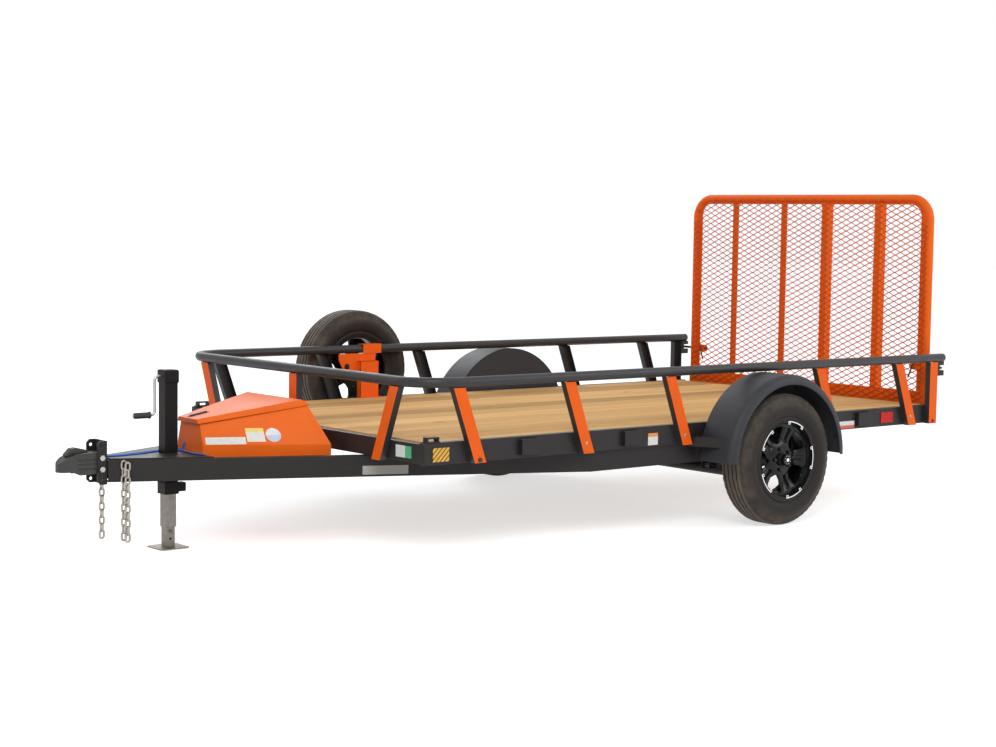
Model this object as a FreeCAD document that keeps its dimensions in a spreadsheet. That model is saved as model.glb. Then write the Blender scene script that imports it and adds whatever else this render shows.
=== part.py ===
import FreeCAD, Part
import math
import os

import Sketcher

# Single-axle utility trailer with pipe rails, a tongue toolbox, a crank jack and a mesh ramp gate.
# Everything is in millimetres: X forward to the coupler, Y to the left side, Z up from the ground.
# Places along X are measured from the axle, and every piece is then moved by axle_x, so that the
# origin lies on the ground under the middle of the whole trailer.

os.makedirs("parts", exist_ok=True)
doc = FreeCAD.newDocument("utility_trailer")
V = FreeCAD.Vector

sheet = doc.addObject("Spreadsheet::Sheet", "Sizes")
next_row = 1


class Size:
    """A length or an angle: its value now, and the spreadsheet formula that gives it."""

    def __init__(self, value, formula):
        self.value = value
        self.formula = formula

    def __add__(self, other):
        other = as_size(other)
        return Size(self.value + other.value, "(%s + %s)" % (self.formula, other.formula))

    def __sub__(self, other):
        other = as_size(other)
        return Size(self.value - other.value, "(%s - %s)" % (self.formula, other.formula))

    def __mul__(self, other):
        other = as_size(other)
        return Size(self.value * other.value, "(%s * %s)" % (self.formula, other.formula))

    def __truediv__(self, other):
        other = as_size(other)
        return Size(self.value / other.value, "(%s / %s)" % (self.formula, other.formula))

    def __neg__(self):
        return Size(-self.value, "(-1 * %s)" % self.formula)

    def __radd__(self, other):
        return as_size(other) + self

    def __rsub__(self, other):
        return as_size(other) - self

    def __rmul__(self, other):
        return as_size(other) * self


def as_size(number):
    if isinstance(number, Size):
        return number
    return Size(float(number), "%.6f" % number)


def tan_of(angle):
    return Size(math.tan(math.radians(angle.value)), "tan(%s * 1 deg)" % angle.formula)


def cos_of(angle):
    return Size(math.cos(math.radians(angle.value)), "cos(%s * 1 deg)" % angle.formula)


def size(alias, value, meaning):
    """Write one driving dimension into the sheet and return it as a Size."""
    global next_row
    sheet.set("A%d" % next_row, meaning)
    sheet.set("B%d" % next_row, str(value))
    sheet.setAlias("B%d" % next_row, alias)
    next_row += 1
    return Size(float(value), "Sizes.%s" % alias)


# Driving dimensions: the whole trailer
axle_x = size("axle_x", -971, "axle, from the middle of the trailer")
bed_front = size("bed_front", 2200, "front face of the bed frame, ahead of the axle")
bed_rear = size("bed_rear", -1465, "rear face of the bed frame")
bed_half = size("bed_half", 1030, "half the width of the bed frame")
deck_top = size("deck_top", 545, "top of the planks and of the frame, above the ground")
channel_deep = size("channel_deep", 102, "four inch channel, depth")
channel_flange = size("channel_flange", 40, "four inch channel, flange")
channel_wall = size("channel_wall", 6, "four inch channel, wall")
plank_thick = size("plank_thick", 38, "plank thickness")
plank_gap = size("plank_gap", 4, "gap between planks")
cross_deep = size("cross_deep", 58, "cross member depth")
cross_flange = size("cross_flange", 35, "cross member flange")
cross_wall = size("cross_wall", 5, "cross member wall")

# Driving dimensions: the tongue
tongue_front = size("tongue_front", 3262, "front end of the tongue beams")
tongue_nose = size("tongue_nose", 67, "half width of the tongue at its front end")
tongue_angle = size("tongue_angle", 24.2, "angle of each tongue beam to the centreline")
wrap_half = size("wrap_half", 1010, "outer face of the tongue beam where it runs under the bed")
wrap_end = size("wrap_end", -385, "rear end of the tongue beam, behind the rear spring hanger")

# Driving dimensions: the rails
post_wide = size("post_wide", 68, "width of a rail post's web")
post_deep = size("post_deep", 36, "flange of a rail post")
post_wall = size("post_wall", 4, "wall of a rail post")
post_lean = size("post_lean", 20, "lean of the slanted posts from upright")
post_pitch = size("post_pitch", 672, "spacing of the side posts")
first_post = size("first_post", 1901, "foot of the foremost side post")
rear_post = size("rear_post", -1430, "middle of the upright rear post")
rail_tube = size("rail_tube", 48, "outer diameter of the rail tube")
rail_half = size("rail_half", 1054, "side rail centre, from the centreline")
rail_front = size("rail_front", 2222, "front rail centre, ahead of the axle")
rail_rear = size("rail_rear", -1525, "rear ends of the rail")
rail_height = size("rail_height", 818, "rail centre, above the ground")
rail_bend = size("rail_bend", 110, "bend radius of the rail at the front corners")

# Driving dimensions: wheels, axle and springs
tyre_radius = size("tyre_radius", 344, "tyre radius")
tyre_width = size("tyre_width", 203, "tyre width")
bead_radius = size("bead_radius", 196, "radius of the rim's bead seat")
rim_flange = size("rim_flange", 208, "radius of the rim's outer lip")
wheel_centre = size("wheel_centre", 1160, "middle of the tyre, from the centreline")
axle_drop = size("axle_drop", 100, "drop of the axle beam below the spindles")
axle_tube = size("axle_tube", 60, "axle beam diameter")
spring_track = size("spring_track", 985, "middle of each leaf spring, from the centreline")
spring_span = size("spring_span", 640, "spring, eye to eye")
spring_wide = size("spring_wide", 44, "leaf width")
leaf_thick = size("leaf_thick", 7, "leaf thickness")
eye_height = size("eye_height", 318, "spring eye, above the ground")
pad_high = size("pad_high", 6, "spring seat on the axle beam")
bolt_gap = size("bolt_gap", 72, "leg to leg of a U-bolt")
u_bolt = size("u_bolt", 11, "U-bolt diameter")
hub_radius = size("hub_radius", 48, "hub barrel, radius")
hub_flange = size("hub_flange", 70, "hub flange, radius")
spindle = size("spindle", 34, "spindle diameter")
spare_x = size("spare_x", 1070, "spare wheel centre, ahead of the axle")
spare_y = size("spare_y", -1180.5, "middle of the spare tyre, from the centreline")
spare_z = size("spare_z", 690, "spare wheel centre, above the ground")

# Driving dimensions: fenders
fender_radius = size("fender_radius", 440, "outer radius of the fender")
fender_centre = size("fender_centre", 350, "centre of the fender's curve, above the ground")
fender_inner = size("fender_inner", 1037, "inner face of the fender")
fender_outer = size("fender_outer", 1282, "outer edge of the fender")
fender_sheet = size("fender_sheet", 3, "fender sheet thickness")
fender_round = size("fender_round", 46, "cut of the fender's outer shoulder")
fender_lip = size("fender_lip", 378, "radius of the fender's turned-down lip")

# Driving dimensions: jack, coupler and toolbox
jack_x = size("jack_x", 2920, "jack, ahead of the axle")
jack_tube = size("jack_tube", 66, "outer square tube of the jack")
jack_wall = size("jack_wall", 4, "wall of the outer tube")
jack_top = size("jack_top", 838, "top of the jack")
jack_collar = size("jack_collar", 255, "lower end of the outer tube")
leg_tube = size("leg_tube", 55, "inner square tube of the jack")
leg_wall = size("leg_wall", 4, "wall of the inner tube")
foot_size = size("foot_size", 152, "foot plate, side")
foot_thick = size("foot_thick", 6, "foot plate thickness")
coupler_tip = size("coupler_tip", 3484, "front of the coupler's nose")
coupler_nose = size("coupler_nose", 39, "radius of the coupler's nose")
coupler_half = size("coupler_half", 47.5, "half width of the coupler's shank")
coupler_height = size("coupler_height", 422, "rim of the ball socket's dome, above the ground")
ball_radius = size("ball_radius", 29.7, "socket radius for a 2 5/16 inch ball")
adjuster_low = size("adjuster_low", 330, "lower end of the height adjuster")
adjuster_high = size("adjuster_high", 530, "upper end of the height adjuster")
adjuster_half = size("adjuster_half", 57, "half width of the height adjuster")
adjuster_deep = size("adjuster_deep", 48, "depth of the height adjuster's channel")
adjuster_wall = size("adjuster_wall", 9, "wall of the height adjuster")
hole_pitch = size("hole_pitch", 52, "pitch of the adjuster's holes")
hole_set = size("hole_set", 27, "holes, ahead of the adjuster's back")
chain_wire = size("chain_wire", 7, "chain wire")
chain_wide = size("chain_wide", 25, "chain link, width")
chain_long = size("chain_long", 47, "chain link, length")
box_front = size("box_front", 2790, "front face of the toolbox")
box_rear = size("box_rear", 2262, "rear face of the toolbox")
box_bottom = size("box_bottom", 372, "floor of the toolbox")
box_band = size("box_band", 475, "bend line low on the toolbox walls")
box_seam_front = size("box_seam_front", 578, "lid seam at the front")
box_seam_rear = size("box_seam_rear", 660, "lid seam at the rear")
box_low_front = size("box_low_front", 92, "half width at the front, at the bend line")
box_low_rear = size("box_low_rear", 382, "half width at the rear, at the bend line")
box_top_front = size("box_top_front", 46, "half width at the front, at the seam")
box_top_rear = size("box_top_rear", 272, "half width at the rear, at the seam")
box_sheet = size("box_sheet", 3, "toolbox sheet thickness")
lid_high = size("lid_high", 50, "lid, from its seam to its flat top")
lid_hinge_x = size("lid_hinge_x", 2298, "lid hinge axis, ahead of the axle")
lid_hinge_z = size("lid_hinge_z", 667, "lid hinge axis, above the ground")
knuckle = size("knuckle", 6, "lid hinge knuckle, radius")

# Driving dimensions: the ramp gate
gate_x = size("gate_x", -1500, "middle of the gate's frame tube")
gate_half = size("gate_half", 947, "centre of the gate's side tubes, from the centreline")
gate_tube = size("gate_tube", 48, "outer diameter of the gate's frame tube")
gate_low = size("gate_low", 536, "lower edge of the gate's sill, above the ground")
sill_high = size("sill_high", 75, "gate sill, height")
sill_deep = size("sill_deep", 40, "gate sill, depth")
gate_high = size("gate_high", 1733, "centre of the gate's top tube, above the ground")
gate_bend = size("gate_bend", 95, "bend radius of the gate's top corners")
gate_bar = size("gate_bar", 50, "leg of the gate's angle bars")
gate_bar_wall = size("gate_bar_wall", 4, "wall of the gate's angle bars")
mesh_wide = size("mesh_wide", 76, "mesh opening, across")
mesh_high = size("mesh_high", 34, "mesh opening, upwards")
mesh_wire = size("mesh_wire", 3, "width of a mesh strand")
hinge_x = size("hinge_x", -1528, "gate hinge axis")
hinge_z = size("hinge_z", 520, "gate hinge axis, above the ground")
hinge_y = size("hinge_y", 860, "gate hinges, from the centreline")
latch_z = size("latch_z", 759, "gate latch pin, above the ground")
cable_thick = size("cable_thick", 9, "wiring cable, diameter")

doc.recompute()

sub_parts = []


def bind(piece, name, value):
    value = as_size(value)
    piece.setExpression(name, value.formula)


def keep(piece, label, x=0):
    """Name a finished sub-part, and stand it at its place along the trailer."""
    piece.Label = label
    bind(piece, "Placement.Base.x", axle_x + x)
    sub_parts.append(piece)
    return piece


def put(piece, x, y, z):
    bind(piece, "Placement.Base.x", x)
    bind(piece, "Placement.Base.y", y)
    bind(piece, "Placement.Base.z", z)


def block(x0, x1, y0, y1, z0, z1):
    """A rectangular block between two corners."""
    piece = doc.addObject("Part::Box", "block")
    bind(piece, "Length", x1 - x0)
    bind(piece, "Width", y1 - y0)
    bind(piece, "Height", z1 - z0)
    put(piece, x0, y0, z0)
    return piece


turn_to = {
    "X": FreeCAD.Rotation(V(0, 1, 0), 90),
    "Y": FreeCAD.Rotation(V(1, 0, 0), -90),
    "Z": FreeCAD.Rotation(),
}


def rod(radius, length, x, y, z, direction="Z"):
    """A round bar that starts at a point and runs along an axis."""
    piece = doc.addObject("Part::Cylinder", "rod")
    bind(piece, "Radius", radius)
    bind(piece, "Height", length)
    piece.Placement = FreeCAD.Placement(V(0, 0, 0), turn_to[direction])
    put(piece, x, y, z)
    return piece


def prism(flats, radius, length, x, y, z, direction="Z"):
    """A bar with flats, such as a bolt head, that starts at a point and runs along an axis."""
    piece = doc.addObject("Part::Prism", "prism")
    piece.Polygon = flats
    bind(piece, "Circumradius", radius)
    bind(piece, "Height", length)
    piece.Placement = FreeCAD.Placement(V(0, 0, 0), turn_to[direction])
    put(piece, x, y, z)
    return piece


def fused(pieces):
    joined = doc.addObject("Part::MultiFuse", "fused")
    joined.Shapes = pieces
    joined.Refine = True
    return joined


def cut(base, tools):
    tool = tools[0] if len(tools) == 1 else fused(tools)
    result = doc.addObject("Part::Cut", "cut")
    result.Base = base
    result.Tool = tool
    result.Refine = True
    return result


def group(pieces):
    """Like pieces that don't touch, kept as one sub-part."""
    joined = doc.addObject("Part::Compound", "group")
    joined.Links = pieces
    return joined


def mirrored(piece):
    """The same piece on the other side of the trailer."""
    other = doc.addObject("Part::Mirroring", "mirrored")
    other.Source = piece
    other.Normal = V(0, 1, 0)
    other.Base = V(0, 0, 0)
    return other


def both_sides(pieces):
    return group(pieces + [mirrored(piece) for piece in pieces])


def free_shape(shape, name="shape"):
    """A form that neither a sketch feature nor a primitive gives."""
    piece = doc.addObject("Part::Feature", name)
    piece.Shape = shape
    return piece


def sketch_on(body, role, points, lift=None):
    """A closed outline on one of the body's own planes, with each corner tied to the sheet."""
    sketch = body.newObject("Sketcher::SketchObject", "outline")
    plane = [item for item in body.Origin.OriginFeatures if item.Role == role][0]
    sketch.AttachmentSupport = [(plane, "")]
    sketch.MapMode = "FlatFace"
    if lift is not None:
        bind(sketch, "AttachmentOffset.Base.z", lift)
    corners = [(as_size(a), as_size(b)) for a, b in points]
    count = len(corners)
    for index in range(count):
        start = corners[index]
        end = corners[(index + 1) % count]
        line = Part.LineSegment(V(start[0].value, start[1].value, 0), V(end[0].value, end[1].value, 0))
        sketch.addGeometry(line)
    for index in range(count):
        sketch.addConstraint(Sketcher.Constraint("Coincident", index, 2, (index + 1) % count, 1))
    for index, (across, up) in enumerate(corners):
        for kind, value in (("DistanceX", across), ("DistanceY", up)):
            place = sketch.addConstraint(Sketcher.Constraint(kind, -1, 1, index, 1, value.value))
            sketch.setExpression("Constraints[%d]" % place, value.formula)
    return sketch


def padded(role, points, length, lift=None):
    """A body padded from one outline along its plane's normal."""
    body = doc.addObject("PartDesign::Body", "body")
    pad = body.newObject("PartDesign::Pad", "pad")
    pad.Profile = sketch_on(body, role, points, lift)
    bind(pad, "Length", length)
    return body


def pocketed(body, role, points, length, lift=None):
    pocket = body.newObject("PartDesign::Pocket", "pocket")
    pocket.Profile = sketch_on(body, role, points, lift)
    bind(pocket, "Length", length)
    pocket.Reversed = True
    body.Tip = pocket
    return body


def channel_profile(outer, inner, low, high, wall):
    """The C of a channel: its web on the outer line, its flanges reaching to the inner line."""
    step = wall if inner.value > outer.value else -wall
    return [
        (outer, low),
        (inner, low),
        (inner, low + wall),
        (outer + step, low + wall),
        (outer + step, high - wall),
        (inner, high - wall),
        (inner, high),
        (outer, high),
    ]


def behind(solid, point, facing):
    """What is left of a solid behind a plane that faces a given way."""
    reach = 4000
    slab = Part.makeBox(reach, reach, reach, V(-reach / 2, -reach / 2, 0))
    slab.Placement = FreeCAD.Placement(point, FreeCAD.Rotation(V(0, 0, 1), facing))
    return solid.cut(slab)


def bounded(solid, planes, inset):
    """What is left of a solid inside all the planes, each moved inward by the inset."""
    for point, facing in planes:
        outward = V(facing).normalize()
        solid = behind(solid, point - outward * inset, outward)
    return solid


# Bed frame: side channels, end channels and cross members

side_low = deck_top - channel_deep
side_profile = channel_profile(bed_half, bed_half - channel_flange, side_low, deck_top, channel_wall)
side_channel = padded("YZ_Plane", side_profile, bed_front - bed_rear, bed_rear)
keep(both_sides([side_channel]), "side_channels")

web_half = bed_half - channel_wall


def end_channel(outer, inner):
    """A channel across the bed, between the webs of the side channels."""
    profile = channel_profile(outer, inner, side_low + channel_wall, deck_top - channel_wall, channel_wall)
    return padded("XZ_Plane", profile, web_half * 2, -web_half)


front_header = end_channel(bed_front, bed_front - channel_flange)
rear_header = end_channel(bed_rear, bed_rear + channel_flange)
keep(group([front_header, rear_header]), "end_channels")

cross_count = 6
cross_high = deck_top - plank_thick
cross_low = cross_high - cross_deep
cross_step = (bed_front - bed_rear) / (cross_count + 1)
cross_members = []
for index in range(cross_count):
    front = bed_rear + cross_step * (index + 1)
    profile = channel_profile(front, front - cross_flange, cross_low, cross_high, cross_wall)
    cross_members.append(padded("XZ_Plane", profile, web_half * 2, -web_half))
keep(group(cross_members), "cross_members")

# Deck: planks laid lengthwise between the side channels, on the cross members

plank_count = 11
deck_half = bed_half - channel_flange - 1
deck_from = bed_rear + channel_flange + 1
deck_to = bed_front - channel_flange - 1
plank_wide = (deck_half * 2 - plank_gap * (plank_count - 1)) / plank_count
planks = []
for index in range(plank_count):
    right = -deck_half + (plank_wide + plank_gap) * index
    planks.append(block(deck_from, deck_to, right, right + plank_wide, cross_high, deck_top))
keep(group(planks), "deck_planks")

# Tongue: two channels that run from the coupler out to the sides and back under the bed

beam_high = side_low
beam_low = side_low - channel_deep
slope = tan_of(tongue_angle)
bend_x = tongue_front - (wrap_half - tongue_nose) / slope


def beam_strip(inset):
    """Plan of the beam's outer face moved inward, as three points from its front to its rear."""
    slant = inset / cos_of(tongue_angle)
    corner = bend_x - slant / slope + inset / slope
    return [(tongue_front, tongue_nose - slant), (corner, wrap_half - inset), (wrap_end, wrap_half - inset)]


def between(outer_inset, inner_inset):
    """Plan of the stretch between two lines drawn along the beam."""
    outer = beam_strip(outer_inset)
    inner = beam_strip(inner_inset)
    return outer + inner[::-1]


beam = padded("XY_Plane", between(as_size(0), channel_flange), channel_deep, beam_low)
pocketed(beam, "XY_Plane", between(channel_wall, channel_flange + 5), channel_deep - channel_wall * 2,
         beam_low + channel_wall)
keep(both_sides([beam]), "tongue_beams")

# Tongue plate: the top plate between the beams that carries the jack

plate_thick = as_size(6)
plate_rear = jack_x - 95
plate_front = tongue_front - 12
plate_top = beam_high + plate_thick
jack_half = jack_tube / 2


def inside_beams(place, gap):
    """Half width between the beams' webs at a place along the tongue."""
    return tongue_nose + (tongue_front - place) * slope - channel_wall / cos_of(tongue_angle) - gap


top_plate = padded("XY_Plane", [
    (plate_rear, -inside_beams(plate_rear, 2)),
    (plate_front, -inside_beams(plate_front, 2)),
    (plate_front, inside_beams(plate_front, 2)),
    (plate_rear, inside_beams(plate_rear, 2)),
], plate_thick, beam_high)
jack_hole = block(jack_x - jack_half, jack_x + jack_half, -jack_half, jack_half, beam_high - 1,
                  plate_top + 1)
keep(cut(top_plate, [jack_hole]), "tongue_plate")

# Rails: one bent tube that runs round both sides and the front, closed at its rear ends


tube_flats = 12
tube_spread = 1 / math.cos(math.pi / tube_flats)


def rounded_path(points, bend, steps):
    """The points of a bent path: each corner becomes an arc of short straight stretches."""
    path = [points[0]]
    for index in range(1, len(points) - 1):
        corner = points[index]
        back = (points[index - 1] - corner).normalize()
        ahead = (points[index + 1] - corner).normalize()
        half_turn = back.getAngle(ahead) / 2
        centre = corner + (back + ahead).normalize() * (bend / math.sin(half_turn))
        entry = corner + back * (bend / math.tan(half_turn)) - centre
        turning = entry.cross(back * -1)
        turn = 180 - math.degrees(half_turn * 2)
        for step in range(steps + 1):
            path.append(centre + FreeCAD.Rotation(turning, turn * step / steps).multVec(entry))
    path.append(points[-1])
    return path


def section_face(centre, along, across, radius, flats):
    """The section of a bar, with flats that are lined up with a direction across it."""
    corners = []
    for index in range(flats):
        turn = FreeCAD.Rotation(along, 360.0 * (index + 0.5) / flats)
        corners.append(centre + turn.multVec(across) * radius)
    return Part.Face(Part.makePolygon(corners + [corners[0]]))


def mitred_bar(points, radius, flats, across):
    """A bar in straight stretches that meet at mitres, along a path."""
    headings = [(points[index + 1] - points[index]).normalize() for index in range(len(points) - 1)]
    overrun = radius * 2
    stretches = []
    for index, along in enumerate(headings):
        start = points[index]
        end = points[index + 1]
        foot = start - along * overrun if index else start
        tip = end + along * overrun if index < len(headings) - 1 else end
        stretch = section_face(foot, along, across, radius, flats).extrude(tip - foot)
        if index:
            stretch = behind(stretch, start, (headings[index - 1] + along) * -1)
        if index < len(headings) - 1:
            stretch = behind(stretch, end, along + headings[index + 1])
        stretches.append(stretch)
    return stretches[0].multiFuse(stretches[1:]).removeSplitter()


def rail_shape():
    """The rail tube, with a tapered plug in each rear end."""
    radius = rail_tube.value / 2 * tube_spread
    plug = 6
    side = rail_half.value
    level = rail_height.value
    points = [V(rail_rear.value + plug, side, level), V(rail_front.value, side, level),
              V(rail_front.value, -side, level), V(rail_rear.value + plug, -side, level)]
    up = V(0, 0, 1)
    tube = mitred_bar(rounded_path(points, rail_bend.value, 6), radius, tube_flats, up)
    plugs = [section_face(end, V(1, 0, 0), up, radius * 0.8, tube_flats).extrude(V(-plug, 0, 0))
             for end in (points[0], points[-1])]
    return tube.multiFuse(plugs).removeSplitter()


keep(free_shape(rail_shape()), "top_rail")

# Rail posts: channels with the web outward, slanted along the sides and splayed at the front

post_low = side_low - 2
rail_under = rail_height - rail_tube / 2
post_high = rail_height - 8


def post(foot, lean):
    """One side post: a slanted channel whose top is cut to the rail."""
    half = post_wide / 2
    drift = (post_high - post_low) * tan_of(as_size(lean))
    web = [(foot - half, post_low), (foot + half, post_low), (foot + half + drift, post_high),
           (foot - half + drift, post_high)]
    inner = [(foot - half + post_wall, post_low - 5), (foot + half - post_wall, post_low - 5),
             (foot + half - post_wall + drift, post_high + 5),
             (foot - half + post_wall + drift, post_high + 5)]
    body = padded("XZ_Plane", web, post_deep, -(bed_half + post_deep))
    pocketed(body, "XZ_Plane", inner, post_deep - post_wall, -(bed_half + post_deep - post_wall))
    return cut(body, [rail_room])


rail_room = block(rail_rear - 10, rail_front + 60, rail_half - rail_tube / 2, rail_half + rail_tube / 2,
                  rail_under, rail_height + rail_tube)
bay_behind = as_size(183)
side_feet = [first_post - post_pitch * index for index in range(3)]
side_feet += [rear_post + bay_behind + post_pitch, rear_post + bay_behind]
left_posts = [post(foot, post_lean.value) for foot in side_feet] + [post(rear_post, 0)]
keep(both_sides(left_posts), "side_posts")


def front_post(foot, splay):
    """One front post: a channel on the header's front face that splays outward towards the rail."""
    half = post_wide / 2
    low = post_low
    high = rail_under
    web = [(foot - half, low), (foot + half, low), (foot + half + splay, high), (foot - half + splay, high)]
    inner = [(foot - half + post_wall, low - 5), (foot + half - post_wall, low - 5),
             (foot + half - post_wall + splay, high + 5), (foot - half + post_wall + splay, high + 5)]
    body = padded("YZ_Plane", web, post_deep, bed_front)
    return pocketed(body, "YZ_Plane", inner, post_deep - post_wall, bed_front)


outer_foot = as_size(701)
outer_splay = as_size(140)
front_posts = [front_post(outer_foot, outer_splay), front_post(as_size(0), as_size(0)),
               front_post(-outer_foot, -outer_splay)]
keep(group(front_posts), "front_posts")

# Stake pockets on the outside of the side channels

pocket_wide = as_size(110)
pocket_deep = as_size(24)
pocket_wall = as_size(5)
pockets = []
for place in (as_size(1588), as_size(926), as_size(-846)):
    half = pocket_wide / 2
    outer = block(place - half, place + half, bed_half, bed_half + pocket_deep, side_low + 16, deck_top - 12)
    hole = block(place - half + pocket_wall, place + half - pocket_wall, bed_half - 2,
                 bed_half + pocket_deep - pocket_wall, side_low, deck_top)
    pockets.append(cut(outer, [hole]))
keep(both_sides(pockets), "stake_pockets")

# Fenders: a rolled top with a cut shoulder and a turned-down lip, and a flat wall against the frame


def polar(turn, out, along):
    """A point around a wheel: its angle from the rear, its radius, its place along the axle."""
    angle = math.radians(turn)
    return V(-out * math.cos(angle), along, out * math.sin(angle))


def sweep(section, flats, span=360):
    """The skin of quads that a section leaves as it turns about the axle in flats."""
    turns = [float(span) * step / flats for step in range(flats + 1)]
    if span == 360:
        turns = [turn + span * 0.5 / flats for turn in turns]
    rings = [[polar(turn, out, along) for turn in turns] for along, out in section]
    faces = []
    for index, ring in enumerate(rings):
        following = rings[(index + 1) % len(rings)]
        for step in range(flats):
            corners = [ring[step], ring[step + 1], following[step + 1], following[step], ring[step]]
            faces.append(Part.Face(Part.makePolygon(corners)))
    if span < 360:
        for step in (0, flats):
            outline = [ring[step] for ring in rings]
            faces.append(Part.Face(Part.makePolygon(outline + [outline[0]])))
    return faces


def faceted(section, flats, span=360):
    """The solid that a section leaves as it turns about the axle in flats."""
    solid = Part.makeSolid(Part.makeShell(sweep(section, flats, span)))
    if solid.Volume < 0:
        solid.reverse()
    return solid.removeSplitter()


def fender_shape(side):
    """One fender: its skin over the wheel, and the wall between it and the side channel."""
    inner = fender_inner.value
    outer = fender_outer.value
    radius = fender_radius.value
    shoulder = fender_round.value
    sheet = fender_sheet.value
    slack = sheet * 0.41
    flats = 20
    skin = faceted([
        (inner, radius),
        (outer - shoulder, radius),
        (outer, radius - shoulder),
        (outer, fender_lip.value),
        (outer - sheet, fender_lip.value),
        (outer - sheet, radius - shoulder - slack),
        (outer - shoulder - slack, radius - sheet),
        (inner, radius - sheet),
    ], flats, 180)
    rim_line = [polar(180.0 * step / flats, radius - sheet / 2, inner) for step in range(flats + 1)]
    wall = Part.Face(Part.makePolygon(rim_line + [rim_line[0]])).extrude(V(0, sheet, 0))
    level = (deck_top - 60 - fender_centre).value
    wall = behind(wall, V(0, 0, level), V(0, 0, -1))
    whole = skin.fuse(wall).removeSplitter()
    whole.translate(V(0, 0, fender_centre.value))
    return whole if side > 0 else whole.mirror(V(0, 0, 0), V(0, 1, 0))


keep(free_shape(Part.makeCompound([fender_shape(1), fender_shape(-1)])), "fenders")

gusset_low = as_size(470)
gusset_thick = as_size(6)
gusset_reach = as_size(92)
gusset_out = as_size(170)
gusset_drop = gusset_low + gusset_thick - fender_centre
gusset_x = as_size(math.sqrt(fender_radius.value ** 2 - gusset_drop.value ** 2) + 4)
gussets = []
for end in (1, -1):
    outline = [(gusset_x * end, bed_half), ((gusset_x + gusset_reach) * end, bed_half),
               (gusset_x * end, bed_half + gusset_out)]
    gussets.append(padded("XY_Plane", outline, gusset_thick, gusset_low))
keep(both_sides(gussets), "fender_brackets")

# Axle: a dropped round beam with a crank arm and a spindle at each end

beam_z = tyre_radius - axle_drop
drop_at = wheel_centre - 118
arm_wide = as_size(56)
arm_thick = as_size(20)
axle_beam = rod(axle_tube / 2, drop_at * 2, as_size(0), -drop_at, beam_z, "Y")
axle_arm = block(-arm_wide / 2, arm_wide / 2, drop_at - arm_thick, drop_at, beam_z - 26, tyre_radius + 26)
spindle_bar = rod(spindle / 2, 118, as_size(0), drop_at, tyre_radius, "Y")
axle_end = fused([axle_arm, spindle_bar])
keep(fused([axle_beam, axle_end, mirrored(axle_end)]), "axle")

# Leaf springs, with the hangers, bolts, tie plates and U-bolts that hold them

seat_z = beam_z + axle_tube / 2
pack_low = seat_z + pad_high
leaf_count = 3


def spring_shape(side):
    """A pack of curved leaves, the longest on top, with a bushed eye at each of its ends."""
    span = spring_span.value / 2
    thick = leaf_thick.value
    wide = spring_wide.value
    low = pack_low.value
    eye = eye_height.value
    y = side * spring_track.value - wide / 2
    eye_radius = 16
    arch = eye - 12 - low - thick * (leaf_count - 1)
    leaves = []
    for index in range(leaf_count):
        reach = span * (1 - 0.2 * index)
        base = low + thick * (leaf_count - 1 - index)
        rise = arch * (reach / span) ** 2
        lower = Part.Arc(V(-reach, y, base + rise), V(0, y, base), V(reach, y, base + rise)).toShape()
        upper = lower.translated(V(0, 0, thick))
        ends = [Part.makeLine(V(end * reach, y, base + rise), V(end * reach, y, base + rise + thick))
                for end in (-1, 1)]
        outline = Part.Wire(Part.__sortEdges__([lower, upper] + ends))
        leaves.append(Part.Face(outline).extrude(V(0, wide, 0)))
    for end in (1, -1):
        eye_face = section_face(V(end * span, y, eye), V(0, 1, 0), V(0, 0, 1), eye_radius, 8)
        leaves.append(eye_face.extrude(V(0, wide, 0)))
    return leaves[0].multiFuse(leaves[1:]).removeSplitter()


keep(free_shape(Part.makeCompound([spring_shape(1), spring_shape(-1)])), "leaf_springs")

spring_edge = spring_wide / 2
cheek = as_size(5)
hanger_half = as_size(25)
hangers = []
for end in (1, -1):
    eye_x = spring_span / 2 * end
    hanger_out = spring_edge + 1.5 + cheek
    outer = block(eye_x - hanger_half, eye_x + hanger_half, spring_track - hanger_out,
                  spring_track + hanger_out, eye_height - 22, beam_low)
    inner = block(eye_x - hanger_half - 1, eye_x + hanger_half + 1, spring_track - hanger_out + cheek,
                  spring_track + hanger_out - cheek, eye_height - 23, beam_low - cheek)
    heads = [prism(6, 11, 8, eye_x, spring_track + hanger_out, eye_height, "Y"),
             prism(6, 11, 8, eye_x, spring_track - hanger_out - 8, eye_height, "Y")]
    hangers.append(fused([cut(outer, [inner])] + heads))
keep(both_sides(hangers), "spring_hangers")

pack_top = pack_low + leaf_thick * leaf_count
tie_thick = as_size(7)
tie_low = pack_top + 0.5
leg_out = spring_edge + 6.5
axle_low = beam_z - axle_tube / 2
clamp_parts = [block(-52, as_size(52), spring_track - leg_out - 8, spring_track + leg_out + 8,
                     tie_low, tie_low + tie_thick)]
for place in (-bolt_gap / 2, bolt_gap / 2):
    for leg_y in (spring_track - leg_out, spring_track + leg_out):
        clamp_parts.append(block(place - u_bolt / 2, place + u_bolt / 2, leg_y - u_bolt / 2,
                                 leg_y + u_bolt / 2, axle_low - u_bolt, pack_top + 30))
for leg_y in (spring_track - leg_out, spring_track + leg_out):
    clamp_parts.append(block(-bolt_gap / 2, bolt_gap / 2, leg_y - u_bolt / 2, leg_y + u_bolt / 2,
                             axle_low - u_bolt, axle_low))
pad_half = as_size(34)
saddle = axle_tube / 2 / cos_of(as_size(9))
pad_block = block(-pad_half, pad_half, spring_track - spring_edge, spring_track + spring_edge, beam_z + 12,
                  pack_low)
saddle_room = prism(20, saddle, spring_wide + 4, as_size(0), spring_track - spring_edge - 2, beam_z, "Y")
keep(both_sides([fused(clamp_parts), cut(pad_block, [saddle_room])]), "spring_clamps")

# Tyres: turned from a section with a flat bore, bulged walls and a level tread

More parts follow.
